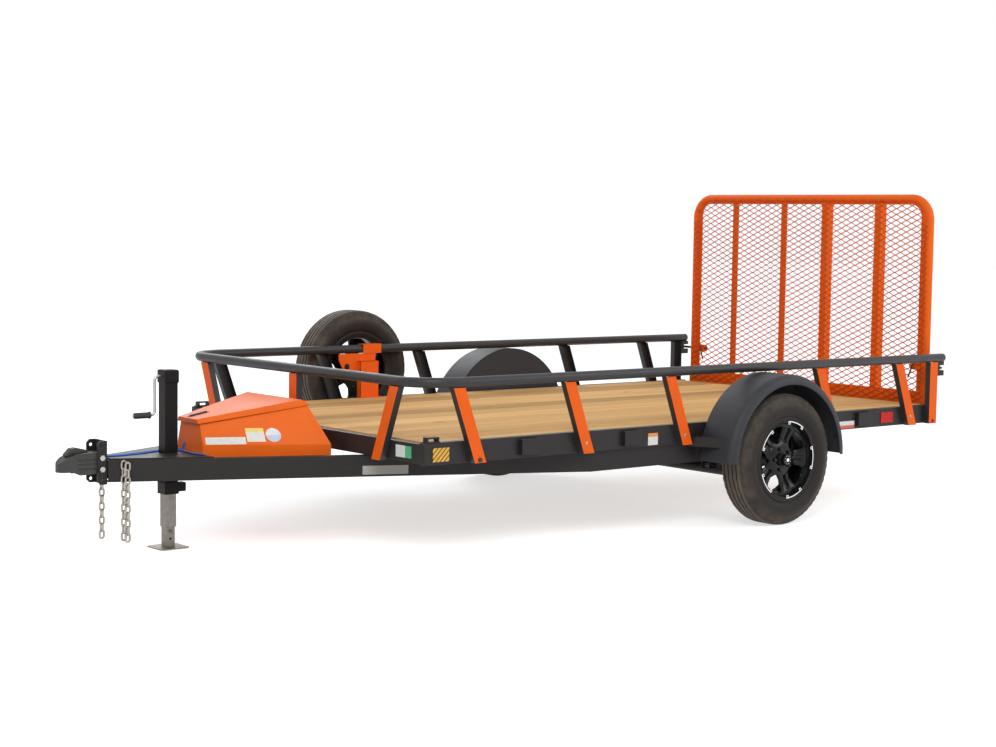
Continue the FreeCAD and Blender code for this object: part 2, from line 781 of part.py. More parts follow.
tyre_half = tyre_width / 2
bead_half = as_size(72)
tread_half = tyre_half - 14
bulge = bead_radius + 72


def tyre(x, y, z):
    """One radial tyre, from its bead to its tread, whose flats stand on the ground."""
    flats = 48
    tread = tyre_radius.value / math.cos(math.pi / flats)
    piece = free_shape(faceted([
        (-bead_half.value, bead_radius.value),
        (bead_half.value, bead_radius.value),
        (tyre_half.value, bulge.value),
        (tread_half.value, tread),
        (-tread_half.value, tread),
        (-tyre_half.value, bulge.value),
    ], flats))
    put(piece, x, y, z)
    return piece


# Rims: a barrel with a lip at each side, and a face of five wide spokes, each split by a slot


def disc(flats, radius, start, end):
    """A flat-sided disc about the axle, between two places along it."""
    corners = [polar(360.0 * (step + 0.5) / flats, radius, start) for step in range(flats)]
    return Part.Face(Part.makePolygon(corners + [corners[0]])).extrude(V(0, end - start, 0))


def opening(outline, turn, start, end):
    """The tool that cuts one opening, from its outline as angles and radii."""
    corners = [polar(turn + angle, out, start) for angle, out in outline]
    return Part.Face(Part.makePolygon(corners + [corners[0]])).extrude(V(0, end - start, 0))


def rim_shape(side):
    """One rim about the origin, with its face to the given side."""
    flats = 24
    seat = bead_radius.value - 0.7
    lip = rim_flange.value
    wall_slope = ((tyre_half - bead_half) / (bulge - bead_radius)).value
    edge = bead_half.value + 0.4
    lip_at = edge + (lip - seat) * wall_slope
    face_back, face_front = 30, 48
    barrel = faceted([(-edge, seat), (edge, seat), (lip_at, lip), (lip_at + 4, lip - 8),
                      (face_back, seat - 17), (-edge, seat - 11)], flats)
    plate = disc(flats, seat - 7, face_back, face_front)
    boss = disc(16, 74, 0, face_front)
    window = [(0, 82), (17, 112), (20, 170), (0, 176), (-20, 170), (-17, 112)]
    slot = [(-3, 96), (3, 96), (4, 168), (-4, 168)]
    tools = []
    for index in range(5):
        tools.append(opening(window, 36 + 72 * index, face_back - 5, face_front + 5))
        tools.append(opening(slot, 72 * index, face_front - 9, face_front + 5))
    tools.append(disc(12, 42, -5, face_front + 5))
    rim = barrel.fuse(plate.fuse(boss)).cut(Part.makeCompound(tools)).removeSplitter()
    return rim if side > 0 else rim.mirror(V(0, 0, 0), V(0, 1, 0))


def rim(side, x, y, z):
    piece = free_shape(rim_shape(side))
    put(piece, x, y, z)
    return piece


# Hubs: a greased barrel on the spindle, the wheel's flange, and a cap over the end


def hub(side):
    """One hub, flat-sided, bored for its spindle."""
    start = wheel_centre
    barrel = prism(14, hub_radius, 88, as_size(0), start - 96, tyre_radius, "Y")
    flange = prism(14, hub_flange, 10, as_size(0), start - 10, tyre_radius, "Y")
    nose = prism(14, 36, 66, as_size(0), start - 2, tyre_radius, "Y")
    bore = prism(8, spindle / 2 + 3, 118, as_size(0), start - 97, tyre_radius, "Y")
    whole = cut(fused([barrel, flange, nose]), [bore])
    return group([whole]) if side > 0 else mirrored(whole)


for side, name in ((1, "left"), (-1, "right")):
    keep(tyre(as_size(0), wheel_centre * side, tyre_radius), "tyre_%s" % name)
    keep(rim(side, as_size(0), wheel_centre * side, tyre_radius), "rim_%s" % name)
    keep(hub(side), "hub_%s" % name)
keep(tyre(spare_x, spare_y, spare_z), "tyre_spare", spare_x)
keep(rim(-1, spare_x, spare_y, spare_z), "rim_spare", spare_x)

# Spare wheel bracket: a channel on the frame, a clamp over the rail and an arm with the stud plate

bracket_wall = as_size(4)
bracket_from = as_size(970)
bracket_to = as_size(1126)
bracket_in = -bed_half + 34
bracket_high = as_size(752)
channel_outer = block(bracket_from, bracket_to, -bed_half, bracket_in, deck_top, bracket_high)
channel_room = block(bracket_from + bracket_wall, bracket_to - bracket_wall, -bed_half - 1,
                     bracket_in - bracket_wall, deck_top - 1, bracket_high - bracket_wall)
cross_plate = block(bracket_from - 2, as_size(1230), -bed_half - bracket_wall, -bed_half, as_size(684),
                    rail_under - 1)
clamp_in = -rail_half + rail_tube / 2
clamp_out = -rail_half - rail_tube / 2
clamp_outer = block(bracket_from - 30, bracket_from + 95, clamp_out - bracket_wall, clamp_in + bracket_wall,
                    rail_under - 1, rail_height + rail_tube / 2 + bracket_wall)
clamp_room = block(bracket_from - 31, bracket_from + 96, clamp_out, clamp_in, rail_under - 2,
                   rail_height + rail_tube / 2)
arm_half = as_size(30)
spare_face = spare_y + 0.5
arm = block(spare_x - arm_half, spare_x + arm_half, spare_face, -bed_half - bracket_wall, spare_z - arm_half,
            spare_z + arm_half)
stud_plate = prism(12, 62, 8, spare_x, spare_face, spare_z, "Y")
bracket = [cut(channel_outer, [channel_room]), cross_plate, cut(clamp_outer, [clamp_room]), arm, stud_plate]
keep(fused(bracket), "spare_bracket")

# Jack: the outer tube with its gear head, collar and lug, the crank, and the leg that slides in it

tube_outer = block(jack_x - jack_half, jack_x + jack_half, -jack_half, jack_half, jack_collar, jack_top)
core_half = jack_half - jack_wall
tube_inner = block(jack_x - core_half, jack_x + core_half, -core_half, core_half, jack_collar - 5,
                   jack_top - 60)
head_half = jack_half + 4
jack_head = block(jack_x - head_half, jack_x + head_half, -head_half, head_half, jack_top - 60, jack_top - 4)
jack_ring = block(jack_x - head_half, jack_x + head_half, -head_half, head_half, jack_collar,
                  jack_collar + 58)
jack_lug = block(jack_x - head_half - 46, jack_x - head_half, as_size(-22), as_size(22), jack_collar + 8,
                 jack_collar + 50)
keep(cut(fused([tube_outer, jack_head, jack_ring, jack_lug]), [tube_inner]), "jack_tube")

crank_z = jack_top - 29
crank_x = jack_x + head_half
crank_drop = as_size(181)
crank_out = as_size(34)
crank_end = crank_x + 146
crank_thick = 6.2
crank_points = [V(crank_x.value, 0, crank_z.value), V((crank_x + crank_out).value, 0, crank_z.value),
                V((crank_x + crank_out).value, 0, (crank_z - crank_drop).value),
                V(crank_end.value, 0, (crank_z - crank_drop).value)]
keep(free_shape(mitred_bar(rounded_path(crank_points, 18, 3), crank_thick, 8, V(0, 1, 0))), "jack_crank")


def grip_shape():
    """The sleeve on the crank's handle, swelling a little at its inner end."""
    along = V(1, 0, 0)
    start = V(crank_x.value + 58, 0, (crank_z - crank_drop).value)
    sleeve = section_face(start, along, V(0, 1, 0), 15, 12).extrude(along * 84)
    swell = section_face(start, along, V(0, 1, 0), 18, 12).extrude(along * 8)
    bore = section_face(start - along, along, V(0, 1, 0), crank_thick, 8).extrude(along * 90)
    return sleeve.fuse(swell).cut(bore).removeSplitter()


keep(free_shape(grip_shape()), "crank_grip")

leg_half = leg_tube / 2
leg_core = leg_half - leg_wall
leg_high = as_size(520)
leg_low = as_size(100)
leg_outer = block(jack_x - leg_half, jack_x + leg_half, -leg_half, leg_half, leg_low, leg_high)
leg_hollow = block(jack_x - leg_core, jack_x + leg_core, -leg_core, leg_core, leg_low - 5, leg_high + 5)
keep(cut(leg_outer, [leg_hollow]), "jack_inner_tube")

drop_half = leg_core - 0.5
drop_core = drop_half - 4
drop_high = leg_low + 130
foot_half = foot_size / 2
drop_tube = block(jack_x - drop_half, jack_x + drop_half, -drop_half, drop_half, foot_thick, drop_high)
drop_hollow = block(jack_x - drop_core, jack_x + drop_core, -drop_core, drop_core, foot_thick + 1,
                    drop_high + 5)
foot_outline = []
for along_x, along_y in ((1, 1), (-1, 1), (-1, -1), (1, -1)):
    clipped = foot_half - 14
    near_x = [(jack_x + foot_half * along_x, clipped * along_y),
              (jack_x + clipped * along_x, foot_half * along_y)]
    foot_outline += near_x if along_x * along_y > 0 else near_x[::-1]
foot_plate = padded("XY_Plane", foot_outline, foot_thick, as_size(0))
pin_z = as_size(80)
drop_hole = prism(8, 6, 60, jack_x, as_size(-30), pin_z - 36, "Y")
pull_pin = prism(8, 7, 26, jack_x, drop_half, pin_z, "Y")
keep(fused([cut(drop_tube, [drop_hollow, drop_hole]), foot_plate, pull_pin]), "jack_foot")

# Coupler: the height adjuster channel, and the cast ball coupler bolted between its flanges

adjuster_x = tongue_front
adjuster_front = adjuster_x + adjuster_deep
rounding = as_size(15)
adjuster_side = [
    (adjuster_x, adjuster_low),
    (adjuster_front - rounding, adjuster_low),
    (adjuster_front, adjuster_low + rounding),
    (adjuster_front, adjuster_high - rounding),
    (adjuster_front - rounding, adjuster_high),
    (adjuster_x, adjuster_high),
]
adjuster_body = padded("XZ_Plane", adjuster_side, adjuster_half * 2, -adjuster_half)
flange_inside = adjuster_half - adjuster_wall
adjuster_room = block(adjuster_x + adjuster_wall, adjuster_front + 5, -flange_inside, flange_inside,
                      adjuster_low - 5, adjuster_high + 5)
hole_x = adjuster_x + hole_set
hole_low = (adjuster_low + adjuster_high) / 2 - hole_pitch * 1.5 - 3
open_holes = [prism(8, 8.5, adjuster_half * 2 + 10, hole_x, -adjuster_half - 5,
                    hole_low + hole_pitch * index, "Y") for index in (0, 3)]
keep(cut(adjuster_body, [adjuster_room] + open_holes), "coupler_adjuster")

socket_x = coupler_tip - coupler_nose
shank_rear = adjuster_x + adjuster_wall + 4
shank_bottom = coupler_height - 43
throat_x = socket_x - 44


def coupler_shape():
    """The casting: a ribbed shank, a rounded nose, a hollow underside and the ball's socket."""
    half = coupler_half.value
    nose = coupler_nose.value
    tip_at = socket_x.value
    rear = shank_rear.value
    level = coupler_height.value
    low = shank_bottom.value
    throat = throat_x.value
    plan = Part.Wire([
        Part.makeLine(V(rear, -half, 0), V(throat, -half, 0)),
        Part.makeLine(V(throat, -half, 0), V(tip_at, -nose, 0)),
        Part.Arc(V(tip_at, -nose, 0), V(tip_at + nose, 0, 0), V(tip_at, nose, 0)).toShape(),
        Part.makeLine(V(tip_at, nose, 0), V(throat, half, 0)),
        Part.makeLine(V(throat, half, 0), V(rear, half, 0)),
        Part.makeLine(V(rear, half, 0), V(rear, -half, 0)),
    ])
    side_view = [
        V(rear, -100, low + 6), V(tip_at - 105, -100, low), V(tip_at - 55, -100, low),
        V(tip_at - 22, -100, low + 15), V(tip_at + nose, -100, low + 15), V(tip_at + nose, -100, level + 8),
        V(tip_at + 21, -100, level + 24), V(tip_at, -100, level + 38), V(tip_at - 40, -100, level + 52),
        V(tip_at - 85, -100, level + 56), V(rear, -100, level + 56),
    ]
    casting = Part.Face(plan).extrude(V(0, 0, 900))
    casting = casting.common(Part.Face(Part.makePolygon(side_view + [side_view[0]])).extrude(V(0, 200, 0)))
    room = Part.makeBox(throat - rear, half * 2 - 24, level + 40 - low, V(rear + 14, 12 - half, low - 5))
    mouth = Part.makeCylinder(ball_radius.value, level - low + 20, V(tip_at, 0, low - 20))
    crown = Part.makeCylinder(ball_radius.value * 0.72, 16, V(tip_at, 0, level - 5))
    tools = [room, mouth, crown]
    for index in range(3):
        for face_y in (-half - 5, half - 4):
            tools.append(Part.makeBox(throat - rear - 32, 9, 7, V(rear + 36, face_y, low + 24 + index * 20)))
    return casting.cut(Part.makeCompound(tools)).removeSplitter()


keep(free_shape(coupler_shape()), "coupler")

latch_side = [
    (socket_x - 105, coupler_height + 56),
    (socket_x - 85, coupler_height + 56),
    (socket_x - 40, coupler_height + 52),
    (socket_x - 6, coupler_height + 40.1),
    (socket_x + 2, coupler_height + 49),
    (socket_x - 26, coupler_height + 78),
    (socket_x - 50, coupler_height + 81),
    (socket_x - 109, coupler_height + 66),
]
keep(padded("XZ_Plane", latch_side, as_size(36), as_size(-18)), "coupler_latch")

bolt_heads = []
for index in (1, 2):
    level = hole_low + hole_pitch * index
    bolt_heads.append(prism(6, 14, 10, hole_x, adjuster_half, level, "Y"))
    bolt_heads.append(prism(6, 14, 10, hole_x, -adjuster_half - 10, level, "Y"))
keep(group(bolt_heads), "coupler_bolts")

# Safety chains: one on each side of the tongue, hanging in loops of links


def outline_of(wide, long, corner):
    """Outline of a chain link seen from its flat side, with cut corners."""
    a = wide / 2
    b = long / 2
    points = [V(a, 0, corner - b), V(a, 0, b - corner), V(a - corner, 0, b), V(corner - a, 0, b),
              V(-a, 0, b - corner), V(-a, 0, corner - b), V(corner - a, 0, -b), V(a - corner, 0, -b)]
    return Part.makePolygon(points + [points[0]])


def link_shape(centre, turned_flat):
    """One chain link, standing upright."""
    wire = chain_wire.value
    eye_half = chain_wide.value / 2 - wire
    eye_long = chain_long.value / 2 - wire
    outer = Part.Face(outline_of(chain_wide.value, chain_long.value, 7)).extrude(V(0, wire, 0))
    link = outer.cut(Part.makeBox(eye_half * 2, wire * 3, eye_long * 2, V(-eye_half, -wire, -eye_long)))
    link.translate(V(0, -wire / 2, 0))
    if turned_flat:
        link.rotate(V(0, 0, 0), V(0, 0, 1), 90)
    link.translate(centre)
    return link


def chain_shape(x, y, top, count, first):
    pitch = chain_long.value - chain_wire.value * 2 - 0.4
    return [link_shape(V(x, y, top - pitch * index), (index + first) % 2 == 1) for index in range(count)]


def beam_face(x):
    """Outer face of the tongue beam at a place along it."""
    return tongue_nose.value + (tongue_front.value - x) * slope.value


chain_x = 3206.0
near_y = beam_face(chain_x) + chain_wide.value / 2 + 1.5
chain_links = chain_shape(chain_x, near_y, 420.0, 11, 0)
chain_links += chain_shape(chain_x - 27, near_y + 12, 250.0, 6, 1)
chain_links += chain_shape(chain_x, -near_y, 336.0, 9, 0)
keep(free_shape(Part.makeCompound(chain_links)), "safety_chains")

# Toolbox: a folded sheet box between the tongue beams, with a hinged lid

box_front_face = (V(box_front.value, 0, 0), V(1, 0, 0))
box_rear_low = V(box_rear.value, 0, box_band.value)
box_rear_high = V(box_rear.value + 40, 0, box_seam_rear.value)
box_rear_face = (box_rear_low, V(0, 1, 0).cross(box_rear_low - box_rear_high))
seam_run = V(box_rear_high.x - box_front.value, 0, box_seam_rear.value - box_seam_front.value)
box_seam = (V(box_front.value, 0, box_seam_front.value), V(seam_run.z, 0, -seam_run.x))


def side_corners(side):
    """Three corners of a side wall: two on its bend line and one at the front of the seam."""
    front_low = V(box_front.value, side * box_low_front.value, box_band.value)
    rear_low = V(box_rear.value, side * box_low_rear.value, box_band.value)
    front_high = V(box_front.value, side * box_top_front.value, box_seam_front.value)
    return front_low, rear_low, front_high


def box_side(side):
    """The upper wall on one side: it leans in from the bend line to the lid."""
    front_low, rear_low, front_high = side_corners(side)
    return (front_low, (front_high - front_low).cross(rear_low - front_low) * -side)


def lower_side(side):
    """The upright wall below the bend line."""
    front_low, rear_low, front_high = side_corners(side)
    along = rear_low - front_low
    return (front_low, V(along.y * side, -along.x * side, 0))


def blank(low):
    """The block that a wall is cut from."""
    return Part.makeBox(800, 900, 700, V(box_rear.value - 100, -450, low))


def knuckle_bar(from_y, to_y):
    """A stretch of the lid's hinge."""
    foot = V(lid_hinge_x.value, from_y, lid_hinge_z.value)
    return Part.makeCylinder(knuckle.value, to_y - from_y, foot, V(0, 1, 0))


box_walls = [box_front_face, box_rear_face, (box_rear_low, V(-1, 0, 0)), box_side(1), box_side(-1),
             lower_side(1), lower_side(-1)]
sheet_thick = box_sheet.value
box_outside = bounded(bounded(blank(box_bottom.value), box_walls, 0), [box_seam], 0)
box_inside = bounded(blank(box_bottom.value + sheet_thick), box_walls, sheet_thick)
knuckle_end = 200
knuckle_mid = 70
box_shell = box_outside.cut(box_inside)
for side in (1, -1):
    low_y, high_y = sorted((side * knuckle_mid, side * knuckle_end))
    leaf = Part.makeBox(10, high_y - low_y, 34, V(lid_hinge_x.value - 4, low_y, lid_hinge_z.value - 36))
    box_shell = box_shell.fuse(leaf.cut(box_outside).fuse(knuckle_bar(low_y, high_y)))
keep(free_shape(box_shell.removeSplitter()), "toolbox_body")

lid_proud = sheet_thick + 1.5
seam_up = V(box_seam[1]).normalize()
lid_top = (box_seam[0] + seam_up * lid_high.value, box_seam[1])
lid_facet = (V(box_rear.value + 61, 0, box_seam_rear.value + 24), V(-0.35, 0, 1))
lid_walls = [box_front_face, box_side(1), box_side(-1)]
lid_back = (V(box_rear_high.x + 2, 0, box_rear_high.z), box_rear_face[1])


def lid_solid(inset):
    """The lid's outside, or its inside when its walls are moved in by the sheet."""
    solid = bounded(blank(box_bottom.value), lid_walls, inset - lid_proud)
    return bounded(solid, [lid_back, lid_top, lid_facet], inset)


lid_outside = lid_solid(0).cut(bounded(blank(box_bottom.value), [box_seam], -1))
leaf_foot = V(lid_hinge_x.value - 4, 4 - knuckle_mid, lid_hinge_z.value)
lid_leaf = Part.makeBox(16, (knuckle_mid - 4) * 2, 20, leaf_foot)
lid_hinge = lid_leaf.cut(lid_solid(0)).fuse(knuckle_bar(4 - knuckle_mid, knuckle_mid - 4))
lid_shell = lid_outside.cut(lid_solid(sheet_thick)).fuse(lid_hinge)
keep(free_shape(lid_shell.removeSplitter()), "toolbox_lid")


def handle_shape():
    """The flush pull on the lid: a shallow tray with a grip bar across it."""
    along = seam_run * (-1 / seam_run.Length)
    place = box_seam[0] + seam_up * lid_high.value - along * 54
    plate = Part.makeBox(92, 40, 3, V(-46, -20, 0))
    bar = Part.makeBox(70, 14, 9, V(-35, -7, 0))
    handle = plate.fuse(bar).removeSplitter()
    tilt = FreeCAD.Rotation(V(1, 0, 0), along)
    handle.Placement = FreeCAD.Placement(place, tilt)
    return handle


keep(free_shape(handle_shape()), "lid_handle")

# Ramp gate: a bent tube frame on a box sill, four angle bars, expanded mesh, latches and hinges

gate_front = gate_x + gate_tube / 2
sill_top = gate_low + sill_high


def gate_frame_shape():
    """The hoop of tube, the sill under it, and the hinge leaves with their barrels."""
    foot = sill_top.value - 10
    points = [V(gate_x.value, -gate_half.value, foot), V(gate_x.value, -gate_half.value, gate_high.value),
              V(gate_x.value, gate_half.value, gate_high.value), V(gate_x.value, gate_half.value, foot)]
    radius = gate_tube.value / 2 * tube_spread
    hoop = mitred_bar(rounded_path(points, gate_bend.value, 6), radius, tube_flats, V(1, 0, 0))
    deep = sill_deep.value
    reach = gate_half.value + gate_tube.value / 2
    sill = Part.makeBox(deep, reach * 2, sill_high.value, V(gate_x.value - deep / 2, -reach, gate_low.value))
    pieces = [sill]
    leaf_wide = 60
    axis_x = hinge_x.value
    axis_z = hinge_z.value
    for side in (1, -1):
        y = side * hinge_y.value - leaf_wide / 2
        leaf = Part.makeBox(8, leaf_wide, 66, V(axis_x, y, axis_z))
        end_face = section_face(V(axis_x, y, axis_z), V(0, 1, 0), V(0, 0, 1), 15, 12)
        barrel = end_face.extrude(V(0, leaf_wide, 0))
        bore = Part.makeCylinder(8.3, leaf_wide + 4, V(axis_x, y - 2, axis_z), V(0, 1, 0))
        pieces.append(leaf.fuse(barrel).cut(bore))
    return hoop.multiFuse(pieces).removeSplitter()


keep(free_shape(gate_frame_shape()), "gate_frame")

bar_low = sill_top
bar_high = gate_high - gate_tube / 2
bars = []
for place in (593, 180):
    edge = as_size(place + 11)
    flat = block(gate_front - gate_bar_wall, gate_front, edge - gate_bar, edge, bar_low, bar_high)
    fin = block(gate_front - gate_bar, gate_front, edge - gate_bar_wall, edge, bar_low, bar_high)
    bars.append(fused([flat, fin]))
keep(both_sides(bars), "gate_bars")


def strand(low, high, front):
    """One straight mesh strand between two points of the gate's plane."""
    wire = mesh_wire.value
    along = V(0, high[0] - low[0], high[1] - low[1])
    across = V(0, -along.z, along.y).normalize() * (wire / 2)
    corners = [V(front, low[0], low[1]) + across, V(front, high[0], high[1]) + across,
               V(front, high[0], high[1]) - across, V(front, low[0], low[1]) - across]
    return Part.Face(Part.makePolygon(corners + [corners[0]])).extrude(V(2.4, 0, 0))


def mesh_shape():
    """Two crossed layers of slanted strands that fill the gate's front face."""
    half = gate_half.value + 6
    low = gate_low.value + 14
    high = gate_high.value + 4
    rise = mesh_high.value / mesh_wide.value
    strands = []
    for layer, turn in ((0, 1), (1, -1)):
        front = gate_front.value + layer * 2.5
        level = low - 2 * half * rise
        while level < high:
            near = -half if level > low else -half + (low - level) / rise
            far = min(half, -half + (high - level) / rise)
            if far - near > 20:
                start = (turn * near, level + (near + half) * rise)
                end = (turn * far, level + (far + half) * rise)
                strands.append(strand(start, end, front))
            level += mesh_high.value
    return Part.makeCompound(strands)


keep(free_shape(mesh_shape()), "gate_mesh")

tube_in = gate_half - gate_tube / 2
tube_out = gate_half + gate_tube / 2
latch_case = block(gate_x - 17, gate_x + 17, tube_in - 74, tube_in, latch_z - 22, latch_z + 22)
latch_pin = prism(8, 7, 92, gate_x, tube_out, latch_z, "Y")
latch_knob = prism(8, 11, 14, gate_x, tube_in - 88, latch_z, "Y")
keep(both_sides([fused([latch_case, latch_knob]), latch_pin]), "gate_latches")

keeper_y = bed_half + 2
keeper_from = rear_post - post_wide / 2
keeper_outer = block(gate_x - 22, keeper_from, keeper_y, keeper_y + 30, latch_z - 24, latch_z + 24)
keeper_room = block(gate_x - 23, keeper_from - 6, keeper_y - 1, keeper_y + 31, latch_z - 18, latch_z + 18)
keep(both_sides([cut(keeper_outer, [keeper_room])]), "latch_keepers")

lug_sets = []
barrel_half = as_size(30)
lug_thick = as_size(8)
lug_radius = as_size(15)
for cheek_y in (hinge_y - barrel_half - lug_thick - 1, hinge_y + barrel_half + 1):
    lug_sets.append(block(hinge_x, bed_rear, cheek_y, cheek_y + lug_thick, hinge_z - lug_radius,
                          hinge_z + lug_radius))
    lug_sets.append(prism(8, lug_radius, lug_thick, hinge_x, cheek_y, hinge_z, "Y"))
hinge_pin = prism(8, 8, (barrel_half + lug_thick) * 2 + 8, hinge_x,
                  hinge_y - barrel_half - lug_thick - 4, hinge_z, "Y")
keep(both_sides([fused(lug_sets + [hinge_pin])]), "gate_hinges")

# Lamps: round markers at the posts' feet, flat reflectors on the channels, oval tail lamps behind

marker_radius = as_size(11)
marker_deep = as_size(7)
reflector_deep = as_size(4)
post_face = bed_half + post_deep
lamp_z = as_size(456)
front_marker_x = first_post + (lamp_z - post_low) * tan_of(post_lean)
front_marker = prism(12, marker_radius, marker_deep, front_marker_x, post_face, lamp_z, "Y")
front_reflector = block(as_size(2060), as_size(2153), bed_half, bed_half + reflector_deep, as_size(457),
                        as_size(521))
keep(both_sides([front_marker, front_reflector]), "amber_lenses")

rear_marker = prism(12, marker_radius, marker_deep, rear_post, post_face, lamp_z, "Y")
rear_reflector = block(as_size(-1111), as_size(-1005), bed_half, bed_half + reflector_deep, as_size(463),
                       as_size(523))
tail_half = as_size(82)
tail_high = as_size(58)
tail_cut = as_size(20)
tail_y = as_size(700)
tail_z = (side_low + deck_top) / 2
tail_low = tail_z - tail_high / 2
tail_top = tail_z + tail_high / 2
tail_lamp = padded("YZ_Plane", [
    (tail_y - tail_half + tail_cut, tail_low),
    (tail_y + tail_half - tail_cut, tail_low),
    (tail_y + tail_half, tail_low + tail_cut),
    (tail_y + tail_half, tail_top - tail_cut),
    (tail_y + tail_half - tail_cut, tail_top),
    (tail_y - tail_half + tail_cut, tail_top),
    (tail_y - tail_half, tail_top - tail_cut),
    (tail_y - tail_half, tail_low + tail_cut),
], as_size(10), bed_rear - 10)
keep(both_sides([rear_marker, rear_reflector, tail_lamp]), "red_lenses")

# Wiring: the cable that lies on the tongue plate, from the adjuster round the jack to the left beam

cable_z = plate_top.value + cable_thick.value / 2
cable_route = [
    V(adjuster_x.value, -6, cable_z),
    V(adjuster_x.value - 70, 2, cable_z),
    V(3110, -14, cable_z),
    V(3030, -26, cable_z),
    V(2966, -52, cable_z),
    V(2896, -56, cable_z),
    V(2856, -18, cable_z),
    V(2850, 60, cable_z),
    V(2862, 130, cable_z),
    V(2840, 196, cable_z),
]


def cable_shape():
    """The cable in straight runs, with an arc at each turn as large as its two runs allow."""
    path = [cable_route[0]]
    for index in range(1, len(cable_route) - 1):
        before, corner, after = cable_route[index - 1:index + 2]
        back = before - corner
        ahead = after - corner
        half_turn = back.getAngle(ahead) / 2
        radius = 0.45 * min(back.Length, ahead.Length) * math.tan(half_turn)
        print("cable bend %d, radius %.0f" % (index, radius))
        path += rounded_path([before, corner, after], radius, 2)[1:-1]
    path.append(cable_route[-1])
    return mitred_bar(path, cable_thick.value / 2, 6, V(0, 0, 1))


keep(free_shape(cable_shape()), "wiring")

# Check and write every sub-part

doc.recompute()
for item in doc.Objects:
    if "Invalid" in item.State or "Error" in item.State:
        raise RuntimeError("%s (%s) failed: %s" % (item.Name, item.Label, item.State))
for piece in sub_parts:
    if piece.Shape.isNull() or not piece.Shape.isValid():
        raise RuntimeError("%s has no valid shape" % piece.Label)
for piece in sub_parts:
    piece.Shape.exportStep("parts/%s.step" % piece.Label)
whole = FreeCAD.BoundBox()
for piece in sub_parts:
    whole.add(piece.Shape.BoundBox)
print("sub-parts %d, X %.1f to %.1f, Y %.1f to %.1f, Z %.1f to %.1f" % (
    len(sub_parts), whole.XMin, whole.XMax, whole.YMin, whole.YMax, whole.ZMin, whole.ZMax))
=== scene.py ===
import math
import random

import bmesh
import bpy
from mathutils import Matrix, Vector


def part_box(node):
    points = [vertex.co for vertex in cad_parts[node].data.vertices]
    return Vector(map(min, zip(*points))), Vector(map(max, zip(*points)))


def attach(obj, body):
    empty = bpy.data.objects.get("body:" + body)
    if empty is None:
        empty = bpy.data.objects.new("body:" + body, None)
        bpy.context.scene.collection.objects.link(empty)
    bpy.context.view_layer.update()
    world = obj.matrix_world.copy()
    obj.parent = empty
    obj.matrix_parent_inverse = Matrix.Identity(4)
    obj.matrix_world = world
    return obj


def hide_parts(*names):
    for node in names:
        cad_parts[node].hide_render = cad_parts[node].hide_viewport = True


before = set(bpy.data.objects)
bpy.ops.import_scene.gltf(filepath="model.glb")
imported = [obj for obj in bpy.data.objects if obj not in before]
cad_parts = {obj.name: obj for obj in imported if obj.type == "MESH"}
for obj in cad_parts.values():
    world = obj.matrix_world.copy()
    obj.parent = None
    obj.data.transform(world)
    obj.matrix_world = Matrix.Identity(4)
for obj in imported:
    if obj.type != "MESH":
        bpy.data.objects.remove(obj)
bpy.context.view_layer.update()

# Studio: the trailer stands on a pale floor under soft lamps. The camera stands ahead of the left
# wheel at standing height, as for the photograph, and looks back along the trailer.

scene = bpy.context.scene
scene.view_settings.view_transform = "Standard"
axle_low, axle_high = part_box("axle")
axle_x = (axle_low.x + axle_high.x) / 2
photo_wide, photo_high = 996, 747
photo_middle = (564.2, 381.6)
photo_focal = 1890.0
camera_place = (7.3198 + axle_x, 7.8217, 1.5319)

camera_data = bpy.data.cameras.new("camera")
camera = bpy.data.objects.new("camera", camera_data)
scene.collection.objects.link(camera)
scene.camera = camera
yaw, pitch, roll = (math.radians(angle) for angle in (228.7682, 4.6746, 1.0086))
looking = Vector((math.cos(yaw) * math.cos(pitch), math.sin(yaw) * math.cos(pitch), -math.sin(pitch)))
level_right = looking.cross(Vector((0, 0, 1))).normalized()
level_up = level_right.cross(looking)
right = level_right * math.cos(roll) + level_up * math.sin(roll)
up = level_up * math.cos(roll) - level_right * math.sin(roll)
camera.matrix_world = Matrix.Translation(camera_place) @ Matrix((right, up, -looking)).transposed().to_4x4()
camera_data.sensor_fit = "HORIZONTAL"
camera_data.sensor_width = 36
camera_data.lens = photo_focal / photo_wide * camera_data.sensor_width
camera_data.shift_x = (photo_wide / 2 - photo_middle[0]) / photo_wide
camera_data.shift_y = (photo_middle[1] - photo_high / 2) / photo_wide
camera_data.clip_end = 200


def shader(name):
    """A new material, its node tree and its surface shader."""
    material = bpy.data.materials.new(name)
    material.use_nodes = True
    tree = material.node_tree
    return material, tree, tree.nodes["Principled BSDF"]


def feed(tree, target, inputs):
    """Sets the inputs of a node, each to a value or to what another node gives."""
    for key, value in inputs.items():
        if isinstance(value, bpy.types.NodeSocket):
            tree.links.new(value, target.inputs[key])
        else:
            target.inputs[key].default_value = value


def node(tree, kind, inputs=None, **settings):
    """A shader node with its settings and its inputs."""
    made = tree.nodes.new(kind)
    for key, value in settings.items():
        setattr(made, key, value)
    feed(tree, made, inputs or {})
    return made


def worked_out(tree, operation, first, second=0.0):
    """The result of one sum on one or two numbers."""
    return node(tree, "ShaderNodeMath", {0: first, 1: second}, operation=operation).outputs[0]


def part_of(tree, vector, axis):
    """One of the three numbers of a place or direction."""
    return node(tree, "ShaderNodeSeparateXYZ", {0: vector}).outputs[axis]


def colours_along(tree, factor, *stops):
    """A run of colours along a factor, from stops of a position and a colour."""
    run = node(tree, "ShaderNodeValToRGB", {"Fac": factor})
    ends = run.color_ramp.elements
    ends[0].position, ends[0].color = stops[0]
    ends[1].position, ends[1].color = stops[-1]
    for position, colour in stops[1:-1]:
        ends.new(position).color = colour
    return run.outputs["Color"]


